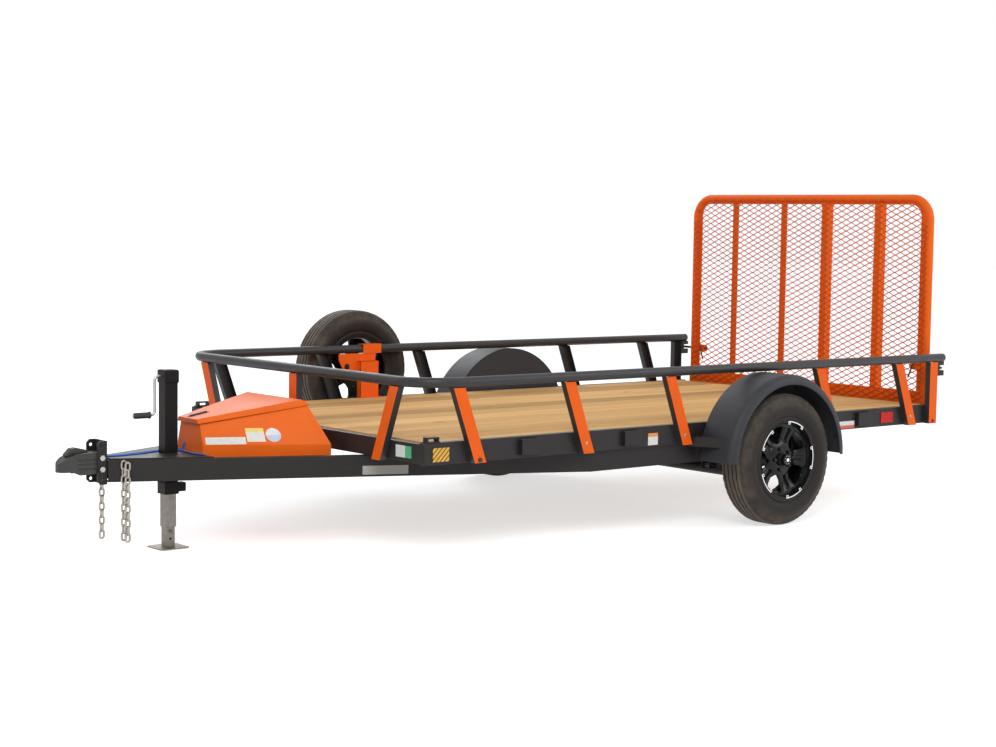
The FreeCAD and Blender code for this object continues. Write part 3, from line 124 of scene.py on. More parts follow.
def softbox(name, place, aim, wide, power, colour):
    """A square lamp at a place, turned towards what it lights."""
    lamp_data = bpy.data.lights.new(name, "AREA")
    lamp_data.shape = "SQUARE"
    lamp_data.size = wide
    lamp_data.energy = power
    lamp_data.color = colour
    lamp = bpy.data.objects.new(name, lamp_data)
    lamp.location = place
    lamp.rotation_euler = (Vector(aim) - Vector(place)).to_track_quat("-Z", "Y").to_euler()
    scene.collection.objects.link(lamp)


softbox("key_lamp", (5.5, 6.5, 6.5), (0, 0, 0.4), 4.5, 420, (1, 0.98, 0.95))
softbox("side_lamp", (-5.5, 6.0, 4.0), (-0.5, 0, 0.6), 3.5, 150, (0.95, 0.97, 1))
softbox("back_lamp", (-2.0, -7.0, 5.5), (0, 0, 0.6), 4.5, 220, (0.96, 0.98, 1))


def seen(tree):
    """One for what the camera, a reflection or a view through glass shows, and none for the lighting."""
    rays = node(tree, "ShaderNodeLightPath").outputs
    mirrored = worked_out(tree, "MAXIMUM", rays["Is Camera Ray"], rays["Is Glossy Ray"])
    return worked_out(tree, "MAXIMUM", mirrored, rays["Is Transmission Ray"])


world = bpy.data.worlds.new("sky")
scene.world = world
world.use_nodes = True
sky = world.node_tree
sky.nodes.clear()
height = part_of(sky, node(sky, "ShaderNodeTexCoord").outputs["Generated"], "Z")
sky_tones = colours_along(sky, height, (0.0, (0.52, 0.52, 0.53, 1)), (0.7, (0.86, 0.9, 0.96, 1)))
lit_sky = node(sky, "ShaderNodeBackground", {"Color": sky_tones, "Strength": 0.6})
seen_sky = node(sky, "ShaderNodeBackground", {"Color": (1, 1, 1, 1), "Strength": 1.0})
choice = node(sky, "ShaderNodeMixShader", {"Fac": seen(sky), 1: lit_sky.outputs[0], 2: seen_sky.outputs[0]})
node(sky, "ShaderNodeOutputWorld", {"Surface": choice.outputs[0]})


def mesh_piece(name, points, faces, material, smooth_angle=35):
    """A piece from its points and faces, shaded smooth except over sharp edges."""
    data = bpy.data.meshes.new(name)
    data.from_pydata([tuple(point) for point in points], [], faces)
    data.validate()
    data.update()
    data.shade_smooth()
    data.set_sharp_from_angle(angle=math.radians(smooth_angle))
    piece = bpy.data.objects.new(name, data)
    scene.collection.objects.link(piece)
    data.materials.append(material)
    return piece


floor_paint, floor_tree, floor_surface = shader("pale_floor")
feed(floor_tree, floor_surface, {
    "Base Color": (0.8, 0.8, 0.8, 1), "Roughness": 0.9, "Specular IOR Level": 0.1, "Emission Color": (1, 1, 1, 1),
    "Emission Strength": worked_out(floor_tree, "MULTIPLY", seen(floor_tree), 0.64)})
floor_edge = 60
floor_corners = [(-floor_edge, -floor_edge, 0), (floor_edge, -floor_edge, 0), (floor_edge, floor_edge, 0),
                 (-floor_edge, floor_edge, 0)]
floor = mesh_piece("floor", floor_corners, [(0, 1, 2, 3)], floor_paint)

# Frame: hot-rolled steel channels, welded and powder coated in satin black. Two run down the
# sides, one closes each end, six cross under the deck, and two more make the tongue.


def own_place(tree):
    """Where a point is on the trailer at rest, in metres."""
    return node(tree, "ShaderNodeTexCoord").outputs["Object"]


def cloudy(tree, place, scale, detail, roughness=0.5):
    """Cloudy noise over a surface, coarse or fine by its scale."""
    return node(tree, "ShaderNodeTexNoise", {"Vector": place, "Scale": scale, "Detail": detail,
                                             "Roughness": roughness}).outputs["Fac"]


def spread(tree, value, low, high, start, end):
    """A value taken from one range to another, and held inside it."""
    return node(tree, "ShaderNodeMapRange", {0: value, 1: low, 2: high, 3: start, 4: end}).outputs[0]


def mixed(tree, share, first, second):
    """Two colours mixed by a share."""
    return node(tree, "ShaderNodeMix", {"Factor": share, 6: first, 7: second}, data_type="RGBA").outputs[2]


def relief(tree, height, strength, depth):
    """A fine relief that the light picks out."""
    bump = node(tree, "ShaderNodeBump", {"Height": height, "Strength": strength, "Distance": depth})
    return bump.outputs["Normal"]


def shade(colour, factor, added=0.0):
    """A colour made deeper or paler."""
    return tuple(min(1, channel * factor + added) for channel in colour[:3]) + (1,)


def powder_coat(name, colour, roughness, shine, dust_and_top_light, dust_and_top_light_colour=(0.3, 0.27, 0.23, 1)):
    """Powder coat over steel: a faint orange peel, uneven gloss, and a tint on what faces up, which is road dust on
    black coats and painted light, a paler orange, on orange coats.
    """
    material, tree, surface = shader(name)
    place = own_place(tree)
    smear = cloudy(tree, place, 14.0, 8.0, 0.7)
    tint = mixed(tree, cloudy(tree, place, 3.5, 6.0, 0.6), shade(colour, 0.82), shade(colour, 1.12, 0.004))
    facing = node(tree, "ShaderNodeNewGeometry").outputs["Normal"]
    lying = spread(tree, part_of(tree, facing, "Z"), 0.35, 1.0, 0.06, 1.0)
    # What faces up mixes toward the second colour: grey-brown road dust on black coats, and on orange coats a paler
    # orange that is painted light.
    dust_and_top_light_share = worked_out(tree, "MULTIPLY", lying, spread(tree, smear, 0.42, 0.75, 0.0, dust_and_top_light))
    feed(tree, surface, {"Base Color": mixed(tree, dust_and_top_light_share, tint, dust_and_top_light_colour),
                         "Roughness": spread(tree, smear, 0.3, 0.7, roughness - 0.05, roughness + 0.08),
                         "Normal": relief(tree, cloudy(tree, place, 420.0, 2.0), 0.12, 0.0006),
                         "Specular IOR Level": shine})
    return material


frame_black = powder_coat("frame_black", (0.018, 0.015, 0.014, 1), 0.42, 0.26, 0.08)
rail_black = powder_coat("rail_black", (0.027, 0.026, 0.028, 1), 0.42, 0.34, 0.1)
# A paler orange that the posts, bracket, gate and mesh take on what faces up: painted light that makes the tops
# look lit.
orange_top_light = (0.9, 0.3, 0.12, 1)
safety_orange = powder_coat("safety_orange", (0.94, 0.126, 0.007, 1), 0.42, 0.15, 0.06, orange_top_light)


def finish_edges(piece, smooth_angle=35):
    """Smooth shading that keeps the flats flat beside rounded edges."""
    piece.data.shade_smooth()
    piece.data.set_sharp_from_angle(angle=math.radians(smooth_angle))
    weighted = piece.modifiers.new("flat_faces", "WEIGHTED_NORMAL")
    weighted.keep_sharp = True
    return piece


def softened(cad_node, name, material, width, segments=2, sharp=28):
    """A piece in a solid's shape, with the edges rounded as rolled and folded steel has them."""
    shape = bmesh.new()
    shape.from_mesh(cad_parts[cad_node].data)
    bmesh.ops.remove_doubles(shape, verts=shape.verts, dist=0.00002)
    bmesh.ops.dissolve_limit(shape, angle_limit=math.radians(0.6), verts=shape.verts, edges=shape.edges)
    edges = [edge for edge in shape.edges
             if edge.is_manifold and edge.calc_face_angle(0) > math.radians(sharp)]
    bmesh.ops.bevel(shape, geom=edges, offset=width, segments=segments, profile=0.5, affect="EDGES",
                    clamp_overlap=False)
    data = bpy.data.meshes.new(name)
    shape.to_mesh(data)
    shape.free()
    data.materials.append(material)
    piece = bpy.data.objects.new(name, data)
    scene.collection.objects.link(piece)
    for face in data.polygons:
        face.material_index = 0
    return finish_edges(piece)


def fit(piece, body, slot, *cad_nodes):
    """The piece rides on its body and stands for its solids, which are hidden. The slot is not used."""
    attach(piece, body)
    if cad_nodes:
        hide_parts(*cad_nodes)


def from_solid(cad_node, name, material, body, slot, width, segments=2, sharp=28):
    """Fits a softened piece that stands for its solid."""
    fit(softened(cad_node, name, material, width, segments, sharp), body, slot, cad_node)


for channel in ("side_channels", "end_channels", "tongue_beams", "stake_pockets"):
    from_solid(channel, channel + "_coated", frame_black, "frame", "black_paint", 0.0016)
for hidden in ("cross_members", "tongue_plate"):
    from_solid(hidden, hidden + "_coated", frame_black, "frame", "black_paint", 0.001, 1)

# Welds: a bead of small overlapping ripples at each joint of the frame, coated with it. Each post
# has one up both sides of its foot, and each corner of the bed has one where two channels meet.


def quads(rows, columns, around=True, closed=False, first=0):
    """Faces between rows of points, round each row or not, and back to the first row or not."""
    faces = []
    for row in range(rows if closed else rows - 1):
        near, far = first + row * columns, first + (row + 1) % rows * columns
        for index in range(columns if around else columns - 1):
            beside = (index + 1) % columns
            faces.append((near + index, near + beside, far + beside, far + index))
    return faces


def turned_over(faces):
    """Faces that look the other way."""
    return [tuple(face)[::-1] for face in faces]


def circle(centre, first, second, radius, corners):
    """Points round a centre, in the plane of two directions."""
    angles = [math.tau * turn / corners for turn in range(corners)]
    return [centre + first * math.cos(angle) * radius + second * math.sin(angle) * radius for angle in angles]


def joined(parts):
    """Several lists of points and faces as one."""
    points, faces = [], []
    for more_points, more_faces in parts:
        offset = len(points)
        points += more_points
        faces += [tuple(index + offset for index in face) for face in more_faces]
    return points, faces


def bead(start, end, size, wobble):
    """Points and faces of one weld bead between two points."""
    start, end = Vector(start), Vector(end)
    along = end - start
    ripples = max(3, int(along.length / (size * 0.8)))
    rings, corners = ripples * 3 + 1, 7
    direction = along.normalized()
    side = direction.orthogonal().normalized()
    points = []
    for ring in range(rings):
        share = ring / (rings - 1)
        swell = size * (0.62 + 0.3 * abs(math.sin(math.pi * share * ripples)))
        if ring in (0, rings - 1):
            swell = size * 0.15
        centre = start + along * share + side * wobble.uniform(-0.0004, 0.0004)
        points += circle(centre, side, direction.cross(side), swell, corners)
    return points, quads(rings, corners)


deck_low, deck_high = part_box("deck_planks")
side_low, side_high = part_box("side_channels")
post_low, post_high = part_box("side_posts")
welding = random.Random(11)
bed_side = side_high.y
bed_floor = side_low.z
bed_level = side_high.z
side_feet = [1.901, 1.229, 0.557, -0.575, -1.247]
rear_foot = -1.43
foot_half = 0.0365
lean = 0.135 / (post_high.z - post_low.z)
beads = []
for side in (1, -1):
    weld_y = side * (bed_side + 0.001)
    for foot in side_feet + [rear_foot]:
        slant = 0 if foot == rear_foot else lean
        for edge in (-foot_half, foot_half):
            low = Vector((foot + axle_x + edge + slant * 0.008, weld_y, bed_floor + 0.006))
            high = Vector((foot + axle_x + edge + slant * 0.095, weld_y, bed_level - 0.005))
            beads.append(bead(low, high, 0.004, welding))
for side in (1, -1):
    weld_y = side * (bed_side - 0.006)
    for end in (side_low.x, side_high.x):
        weld_x = end - math.copysign(0.001, end - axle_x)
        low, high = (weld_x, weld_y, bed_floor + 0.008), (weld_x, weld_y, bed_level - 0.008)
        beads.append(bead(low, high, 0.0035, welding))
fit(mesh_piece("frame_welds", *joined(beads), frame_black, 60), "frame", "black_paint")

# Deck: eleven rough-sawn treated pine planks, laid lengthwise and screwed to each cross member.
# The wood is fresh, a greenish straw colour with brown growth lines, knots and paler edges.

plank_count, plank_gap = 11, 0.004
plank_step = (deck_high.y - deck_low.y + plank_gap) / plank_count


def vector_sum(tree, operation, first, second):
    """The result of one sum on two places or directions."""
    return node(tree, "ShaderNodeVectorMath", {0: first, 1: second}, operation=operation).outputs[0]


def plank_wood():
    """Fresh sawn pine: every plank has its own tone, growth lines and knots, and a fine fibre."""
    material, tree, surface = shader("treated_pine")
    place = own_place(tree)
    from_edge = worked_out(tree, "ADD", part_of(tree, place, "Y"), plank_gap / 2 - deck_low.y)
    number = worked_out(tree, "FLOOR", worked_out(tree, "DIVIDE", from_edge, plank_step))
    own = node(tree, "ShaderNodeTexWhiteNoise", {"W": number}, noise_dimensions="1D").outputs
    moved = vector_sum(tree, "ADD", place, vector_sum(tree, "MULTIPLY", own["Color"], (37.0, 11.0, 5.0)))

    def drawn_out(*scale):
        """The planks' places with the grain drawn out along them."""
        return node(tree, "ShaderNodeMapping", {"Vector": moved, "Scale": scale}).outputs[0]

    grain = drawn_out(0.55, 9.0, 9.0)
    drift = node(tree, "ShaderNodeTexNoise", {"Vector": grain, "Scale": 1.1, "Detail": 3.0, "Distortion": 0.4})
    rings = node(tree, "ShaderNodeTexWave", {"Vector": grain, "Scale": 2.6, "Distortion": 5.5, "Detail": 3.0,
                                             "Detail Scale": 1.4, "Detail Roughness": 0.6},
                 wave_type="BANDS", bands_direction="Y", wave_profile="SAW")
    knots = node(tree, "ShaderNodeTexVoronoi", {"Vector": drawn_out(1.5, 5.2, 5.2), "Scale": 1.2})
    fibre = cloudy(tree, drawn_out(6.0, 260.0, 260.0), 1.0, 4.0, 0.7)
    tones = colours_along(tree, rings.outputs["Fac"], (0.0, (0.72, 0.418, 0.165, 1)),
                          (0.62, (0.62, 0.335, 0.118, 1)), (1.0, (0.36, 0.174, 0.052, 1)))
    softness = spread(tree, drift.outputs["Fac"], 0.35, 0.65, 0.1, 0.7)
    soft = mixed(tree, softness, tones, (0.78, 0.49, 0.21, 1))
    knot_dark = spread(tree, knots.outputs["Distance"], 0.03, 0.1, 0.85, 0.0)
    knotted = mixed(tree, knot_dark, soft, (0.17, 0.075, 0.028, 1))
    bright = spread(tree, own["Value"], 0.0, 1.0, 0.72, 1.16)
    toned = node(tree, "ShaderNodeHueSaturation", {"Value": bright, "Color": knotted})
    feed(tree, surface, {"Base Color": toned.outputs["Color"],
                         "Roughness": spread(tree, fibre, 0.2, 0.8, 0.62, 0.88),
                         "Normal": relief(tree, fibre, 0.35, 0.0012),
                         "Specular IOR Level": 0.08})
    return material


from_solid("deck_planks", "deck_boards", plank_wood(), "frame", "deck_wood", 0.0022)


def bright_metal(name, colour, roughness, scale, contrast=0.25):
    """Plated or galvanised steel with faint spangle and handling marks."""
    material, tree, surface = shader(name)
    place = own_place(tree)
    spangle = node(tree, "ShaderNodeTexVoronoi", {"Vector": place, "Scale": scale})
    grime = cloudy(tree, place, scale * 0.4, 8.0, 0.7)
    tint = mixed(tree, grime, shade(colour, 1 - contrast), colour)
    lift = spread(tree, spangle.outputs["Color"], 0.0, 1.0, 0.85, 1.1)
    flake = node(tree, "ShaderNodeHueSaturation", {"Saturation": 0.9, "Value": lift, "Color": tint})
    feed(tree, surface, {"Base Color": flake.outputs["Color"],
                         "Roughness": spread(tree, grime, 0.2, 0.8, roughness - 0.06, roughness + 0.12),
                         "Normal": relief(tree, grime, 0.08, 0.0005),
                         "Metallic": 1.0})
    return material


def revolved(profile, steps, centre, axis, closed=True):
    """Points and faces of a profile, given as places along and out, turned about an axis."""
    axis = Vector(axis).normalized()
    side = Vector((0, 0, 1)) if abs(axis.z) < 0.9 else Vector((1, 0, 0))
    other = axis.cross(side)
    points = []
    for turn in range(steps):
        angle = math.tau * turn / steps
        out = side * math.cos(angle) + other * math.sin(angle)
        points += [Vector(centre) + axis * along + out * radius for along, radius in profile]
    return points, quads(steps, len(profile), around=closed, closed=True)


zinc_screw = bright_metal("zinc_screw", (0.46, 0.44, 0.4, 1), 0.4, 300.0)
cross_low, cross_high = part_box("cross_members")
cross_count, row_inset, screw_inset = 6, 0.02, 0.035
cross_reach = cross_high.x - cross_low.x - 2 * row_inset
screw_rows = [cross_low.x + row_inset + cross_reach * index / (cross_count - 1) for index in range(cross_count)]
screw_rows += [deck_low.x + row_inset, deck_high.x - row_inset]
screw_head = [(0, 0.0001), (0, 0.0046), (0.0008, 0.0042), (0.0012, 0.0028), (0.0004, 0.0018), (0.0004, 0.0001)]
heads = []
for row in screw_rows:
    for plank in range(plank_count):
        for edge in (screw_inset, plank_step - plank_gap - screw_inset):
            centre = (row, deck_low.y + plank_step * plank + edge, deck_high.z - 0.0012)
            heads.append(revolved(screw_head, 10, centre, (0, 0, 1)))
fit(mesh_piece("deck_screws", *joined(heads), zinc_screw), "frame", "zinc")

# Top rail: one steel tube, bent at the two front corners and closed with a rounded plug at each
# rear end. It is welded to the top of every post and coated in satin black.


def rounded(points, bend, steps):
    """A path whose corners are arcs."""
    path = [Vector(points[0])]
    for index in range(1, len(points) - 1):
        corner = Vector(points[index])
        back = (Vector(points[index - 1]) - corner).normalized()
        ahead = (Vector(points[index + 1]) - corner).normalized()
        half_turn = back.angle(ahead) / 2
        centre = corner + (back + ahead).normalized() * (bend / math.sin(half_turn))
        entry = corner + back * (bend / math.tan(half_turn)) - centre
        turning = entry.cross(-back)
        turn = math.pi - half_turn * 2
        for step in range(steps + 1):
            path.append(centre + Matrix.Rotation(turn * step / steps, 3, turning) @ entry)
    path.append(Vector(points[-1]))
    return path


def swept(path, radius, sides, across, closed=False, cap=0.0):
    """Points and faces of a round bar along a flat path, with rounded ends where it has a cap."""
    across = Vector(across).normalized()
    count = len(path)
    rings = []
    for index, place in enumerate(path):
        before = path[index - 1] if index or closed else place
        after = path[(index + 1) % count] if index < count - 1 or closed else place
        rings.append((place, (after - before).normalized(), radius))
    if not closed:
        rounding = [math.radians(angle) for angle in (22, 44, 66, 88)]
        start, end = [[(place + along * way * cap * math.sin(angle), along, max(0.0002, radius * math.cos(angle)))
                       for angle in rounding] for (place, along, wide), way in ((rings[0], -1), (rings[-1], 1))]
        rings = start[::-1] + rings + end
    points = []
    for centre, along, wide in rings:
        points += circle(centre, across, along.cross(across).normalized(), wide, sides)
    faces = quads(len(rings), sides, closed=closed)
    if not closed:
        faces += [tuple(range(sides)), tuple(range(len(points) - sides, len(points)))[::-1]]
    return points, faces


rail_low, rail_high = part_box("top_rail")
rail_radius, rail_bend, rail_plug = 0.024, 0.2, 0.008
rail_z = (rail_low.z + rail_high.z) / 2
rail_y = rail_high.y - rail_radius
rail_x = rail_high.x - rail_radius
rail_end = rail_low.x + rail_plug
rail_path = rounded([(rail_end, rail_y, rail_z), (rail_x, rail_y, rail_z), (rail_x, -rail_y, rail_z),
                     (rail_end, -rail_y, rail_z)], rail_bend, 16)
rail_tube = swept(rail_path, rail_radius, 32, (0, 0, 1), cap=rail_plug)
fit(mesh_piece("top_rail_tube", *rail_tube, rail_black, 50), "frame", "black_paint", "top_rail")

# Rail posts: pressed steel channels welded outside the frame. The webs are sprayed orange over the
# black coat, and the flanges and the insides stay black.


def two_tone(cad_node, name, outward):
    """A post piece whose outward faces are orange and whose other faces are black."""
    piece = softened(cad_node, name, rail_black, 0.0014)
    piece.data.materials.append(safety_orange)
    for face in piece.data.polygons:
        if outward(face.center, face.normal) > 0.75:
            face.material_index = 1
    return piece


fit(two_tone("side_posts", "side_posts_painted", lambda centre, normal: normal.y * math.copysign(1, centre.y)),
    "frame", "orange_paint", "side_posts")
fit(two_tone("front_posts", "front_posts_painted", lambda centre, normal: normal.x), "frame", "orange_paint",
    "front_posts")

foot_screw = [(0, 0.0001), (0, 0.0075), (0.0022, 0.0068), (0.0036, 0.0045), (0.004, 0.0001)]
foot_heads = []
for side in (1, -1):
    for foot in side_feet[1:]:
        screw_place = (foot + axle_x + lean * 0.05, side * (post_high.y - 0.0005), bed_floor + 0.05)
        foot_heads.append(revolved(foot_screw, 14, screw_place, (0, side, 0)))
fit(mesh_piece("post_foot_screws", *joined(foot_heads), zinc_screw), "frame", "zinc")

# Fenders: rolled sheet steel with a rounded shoulder and a turned-down lip, closed towards the
# frame by a flat wall, welded on brackets and coated in a blue-tinged satin black.

fender_black = powder_coat("fender_black", (0.036, 0.037, 0.042, 1), 0.5, 0.24, 0.08)
fender_low, fender_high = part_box("fenders")
fender_centre = fender_low.z
fender_radius = fender_high.z - fender_centre
fender_inner = bed_side + 0.007
fender_outer = fender_high.y - 0.017
fender_lip = 0.389
shoulder = 0.042
sheet = 0.003


def fender_profile():
    """The skin's section as places out from the centreline and up from the centre of the curve."""
    bend_out, bend_up = fender_outer - shoulder, fender_radius - shoulder
    angles = [math.radians(90 * step / 8) for step in range(9)]
    outside = [(bend_out + shoulder * math.cos(angle), bend_up + shoulder * math.sin(angle)) for angle in angles]
    inside = [(bend_out + (shoulder - sheet) * math.cos(angle), bend_up + (shoulder - sheet) * math.sin(angle))
              for angle in angles]
    lip = [(fender_outer, fender_lip + 0.002), (fender_outer - 0.0015, fender_lip),
           (fender_outer - sheet, fender_lip + 0.002)]
    return [(fender_inner, fender_radius)] + outside[::-1] + lip + inside + [(fender_inner, fender_radius - sheet)]


def fender(side):
    """Points and faces of one fender and its inner wall."""

    def bowed(angles, section):
        """A section carried round the wheel."""
        return [Vector((axle_x + math.cos(angle) * out, side * along, fender_centre + math.sin(angle) * out))
                for angle in angles for along, out in section]

    steps, wall_steps = 72, 48
    profile = fender_profile()
    count = len(profile)
    skin = bowed([math.pi * step / steps for step in range(steps + 1)], profile)
    skin_faces = quads(steps + 1, count) + [tuple(range(count))[::-1], tuple(range(steps * count, len(skin)))]
    wall_radius = fender_radius - 0.001
    begin = math.asin((bed_level - 0.06 - fender_centre) / wall_radius)
    sweep = [begin + (math.pi - 2 * begin) * step / wall_steps for step in range(wall_steps + 1)]
    wall = bowed(sweep, [(fender_inner, wall_radius)]) + bowed(sweep, [(fender_inner + sheet, wall_radius)])
    total = len(sweep)
    wall_faces = turned_over(quads(2, total)) + [tuple(range(total)), tuple(range(total, 2 * total))[::-1]]
    return joined([(skin, skin_faces), (wall, wall_faces)])


def outward_faces(piece):
    """Turns the faces of a piece outward and shades it smooth except over sharp edges."""
    shape = bmesh.new()
    shape.from_mesh(piece.data)
    bmesh.ops.remove_doubles(shape, verts=shape.verts, dist=0.00001)
    bmesh.ops.recalc_face_normals(shape, faces=shape.faces)
    shape.to_mesh(piece.data)
    shape.free()
    piece.data.shade_smooth()
    piece.data.set_sharp_from_angle(angle=math.radians(32))


def add_piece(name, shape, material, body, slot, *cad_nodes):
    """Fits a piece made from points and faces, with its faces turned outward."""
    piece = mesh_piece(name, *shape, material)
    outward_faces(piece)
    fit(piece, body, slot, *cad_nodes)


add_piece("fenders_rolled", joined([fender(1), fender(-1)]), fender_black, "frame", "black_paint", "fenders")

# Fender brackets: a flat triangle of steel plate at each end of a fender, welded to the bed's side,
# with a lip folded down along its free edge.


def upright_plate(outline, low, high):
    """Points and faces of a plate from its outline seen from above."""
    count = len(outline)
    points = [Vector((x, y, z)) for z in (low, high) for x, y in outline]
    return points, quads(2, count) + [tuple(range(count))[::-1], tuple(range(count, 2 * count))]


gusset_top, gusset_thick, lip_fold = 0.476, 0.006, 0.428
gusset_long, gusset_wide = 0.092, 0.17
gusset_root = math.sqrt(fender_radius ** 2 - (gusset_top - fender_centre) ** 2) + 0.004
gussets = []
for side in (1, -1):
    for end in (1, -1):
        near, far = axle_x + gusset_root * end, axle_x + (gusset_root + gusset_long) * end
        inner_y, outer_y = side * bed_side, side * (bed_side + gusset_wide)
        gussets.append(upright_plate([(near, inner_y), (far, inner_y), (near, outer_y)], gusset_top - gusset_thick,
                                     gusset_top))
        gussets.append(upright_plate([(far, inner_y), (near, outer_y), (near, outer_y - side * 0.011),
                                      (far - gusset_thick * end, inner_y)], lip_fold, gusset_top - gusset_thick))
add_piece("fender_gussets", joined(gussets), frame_black, "frame", "black_paint", "fender_brackets")

# Running gear: a dropped tube axle on leaf springs, all coated black. Hangers welded under the side
# channels carry the springs, and U-bolts clamp them to the axle.

for running in ("axle", "leaf_springs", "spring_hangers", "spring_clamps"):
    from_solid(running, running + "_coated", frame_black, "frame", "black_paint", 0.0008, 1, 40)

# Tyres: new steel-belted radial trailer tyres. The tread has four straight grooves between ribs
# with fine cross cuts, the shoulders are notched, and the sidewalls carry plain moulded rings.


def tyre_rubber(name, centre):
    """Black rubber with road dust on the tread and in a ring round the shoulder, for a wheel at a centre."""
    material, tree, surface = shader(name)
    place = own_place(tree)
    cloud = cloudy(tree, place, 9.0, 9.0, 0.68)
    rubber = colours_along(tree, cloud, (0.3, (0.014, 0.0115, 0.010, 1)), (0.72, (0.03, 0.024, 0.0205, 1)))
    road = colours_along(tree, cloud, (0.3, (0.1, 0.082, 0.065, 1)), (0.7, (0.21, 0.168, 0.13, 1)))
    facing = node(tree, "ShaderNodeNewGeometry").outputs["Normal"]
    sideways = worked_out(tree, "ABSOLUTE", part_of(tree, facing, "Y"))
    on_tread = spread(tree, sideways, 0.35, 0.75, 1.0, 0.0)
    from_hub = vector_sum(tree, "MULTIPLY", vector_sum(tree, "SUBTRACT", place, tuple(centre)), (1.0, 0.0, 1.0))
    from_middle = node(tree, "ShaderNodeVectorMath", {0: from_hub}, operation="LENGTH").outputs["Value"]
    on_shoulder = worked_out(tree, "MULTIPLY", spread(tree, from_middle, 0.268, 0.305, 0.0, 0.42),
                             spread(tree, cloud, 0.36, 0.62, 0.35, 1.0))
    dusty = worked_out(tree, "MAXIMUM", on_tread, on_shoulder)
    feed(tree, surface, {"Base Color": mixed(tree, dusty, rubber, road),
                         "Roughness": spread(tree, cloud, 0.3, 0.7, 0.55, 0.78),
                         "Normal": relief(tree, cloudy(tree, place, 500.0, 3.0), 0.1, 0.0006),
                         "Specular IOR Level": 0.22})
    return material


wheel_low, wheel_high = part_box("tyre_left")
tyre_radius = (wheel_high.z - wheel_low.z) / 2 - 0.0002
tread_radius = 0.344


def tyre_section():
    """Half of the tyre's outside from the bead to the middle of the tread, as (along, out, kind)."""
    section = [(0.070, 0.1965, ""), (0.0765, 0.197, ""), (0.0795, 0.203, ""), (0.081, 0.209, ""),
               (0.0832, 0.2125, ""), (0.0845, 0.2165, ""), (0.0838, 0.2185, "")]
    for step in range(15):
        angle = math.radians(-52 + 106 * step / 14)
        ridge = 0.0009 if step in (4, 10) else 0.0
        section.append((0.052 + 0.041 * math.cos(angle) + ridge, 0.2672 + 0.056 * math.sin(angle), "wall"))
    section += [(0.0748, 0.3195, "shoulder"), (0.0722, 0.328, "notch"), (0.0678, 0.3345, "notch"),
                (0.062, 0.339, "notch"), (0.0555, 0.3422, "rib")]
    for groove in (0.041, 0.0145):
        section += [(groove + 0.0052, 0.3436, "rib"), (groove + 0.0044, 0.3428, "edge"),
                    (groove + 0.0026, 0.3372, "groove"), (groove - 0.0026, 0.3372, "groove"),
                    (groove - 0.0044, 0.3432, "edge"), (groove - 0.0052, tread_radius, "rib"),
                    (groove - 0.013, tread_radius, "rib")]
    section.append((0.0, tread_radius, "rib"))
    return section


def tyre_shape(centre):
    """Points and faces of one whole tyre, with notched shoulders and slightly waved grooves."""
    half = tyre_section()
    scale = tyre_radius / tread_radius
    profile = half + [(-along, out, kind) for along, out, kind in half[-2::-1]]
    profile += [(-0.062, 0.201, "bore"), (0.062, 0.201, "bore")]
    notch_deep = {"notch": 0.0035, "shoulder": 0.001}
    wave_wide = {"rib": 0.0011 * 0.5, "edge": 0.0011, "groove": 0.0011}
    steps = 216
    points = []
    for turn in range(steps):
        angle = math.tau * turn / steps
        for along, out, kind in profile:
            if turn % 4 == 0:
                out -= notch_deep.get(kind, 0)
            if abs(along) > 0.001:
                along += wave_wide.get(kind, 0) * (1 if turn % 6 < 3 else -1)
            points.append(Vector((centre[0] + math.cos(angle) * out * scale, centre[1] + along,
                                  centre[2] + math.sin(angle) * out * scale)))
    return points, turned_over(quads(steps, len(profile), closed=True))


def middle_of(cad_node):
    """The middle of a solid's box."""
    low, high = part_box(cad_node)
    return (low + high) / 2


wheels = {"left": "wheel_left", "right": "wheel_right", "spare": "frame"}
for name, body in wheels.items():
    centre = middle_of("tyre_" + name)
    tyre = mesh_piece("tyre_%s_tread" % name, *tyre_shape(centre), tyre_rubber("rubber_" + name, centre), 38)
    fit(tyre, body, "tyre_rubber", "tyre_" + name)

# Wheels: cast aluminium, gloss black, with five broad spokes that are each split by a slot. Bright
# machined arcs lie on the lip beyond the spokes, and a cap with a bright ring closes the middle.


def gloss_paint(name, colour, roughness):
    """Deep gloss paint with faint unevenness and brake dust."""
    material, tree, surface = shader(name)
    cloud = cloudy(tree, own_place(tree), 22.0, 7.0, 0.65)
    feed(tree, surface, {"Base Color": mixed(tree, cloud, colour, shade(colour, 1, 0.003)),
                         "Roughness": spread(tree, cloud, 0.3, 0.75, roughness, roughness + 0.14),
                         "Specular IOR Level": 0.2, "Coat Weight": 0.05, "Coat Roughness": 0.05})
    return material


wheel_black = gloss_paint("wheel_black", (0.004, 0.004, 0.0045, 1), 0.17)
machined = bright_metal("machined_edge", (0.86, 0.86, 0.87, 1), 0.2, 220.0, 0.12)
spoke_count = 5
spoke_turn = 360 / spoke_count
barrel_section = [(-0.0722, 0.1955), (0.0722, 0.1955), (0.0768, 0.207), (0.078, 0.2079), (0.081, 0.2055),
                  (0.0816, 0.2005), (0.0795, 0.1975), (0.066, 0.1945), (0.052, 0.187), (0.036, 0.180),
                  (-0.03, 0.1805), (-0.068, 0.184), (-0.0722, 0.1865)]


def spoke_half_width(radius):
    """Half the angle that a spoke takes up at a radius, in degrees."""
    marks = [(0.040, 36), (0.084, 36), (0.092, 28), (0.112, 19.5), (0.140, 17.2), (0.165, 16.4), (0.172, 19),
             (0.1765, 36), (0.19, 36)]
    for (low, low_width), (high, high_width) in zip(marks, marks[1:]):
        if radius <= high:
            return low_width + (high_width - low_width) * (radius - low) / (high - low)


def smooth_step(low, high, value):
    """None below a range, one above it, and an even change between."""
    share = min(1, max(0, (value - low) / (high - low)))
    return share * share * (3 - 2 * share)


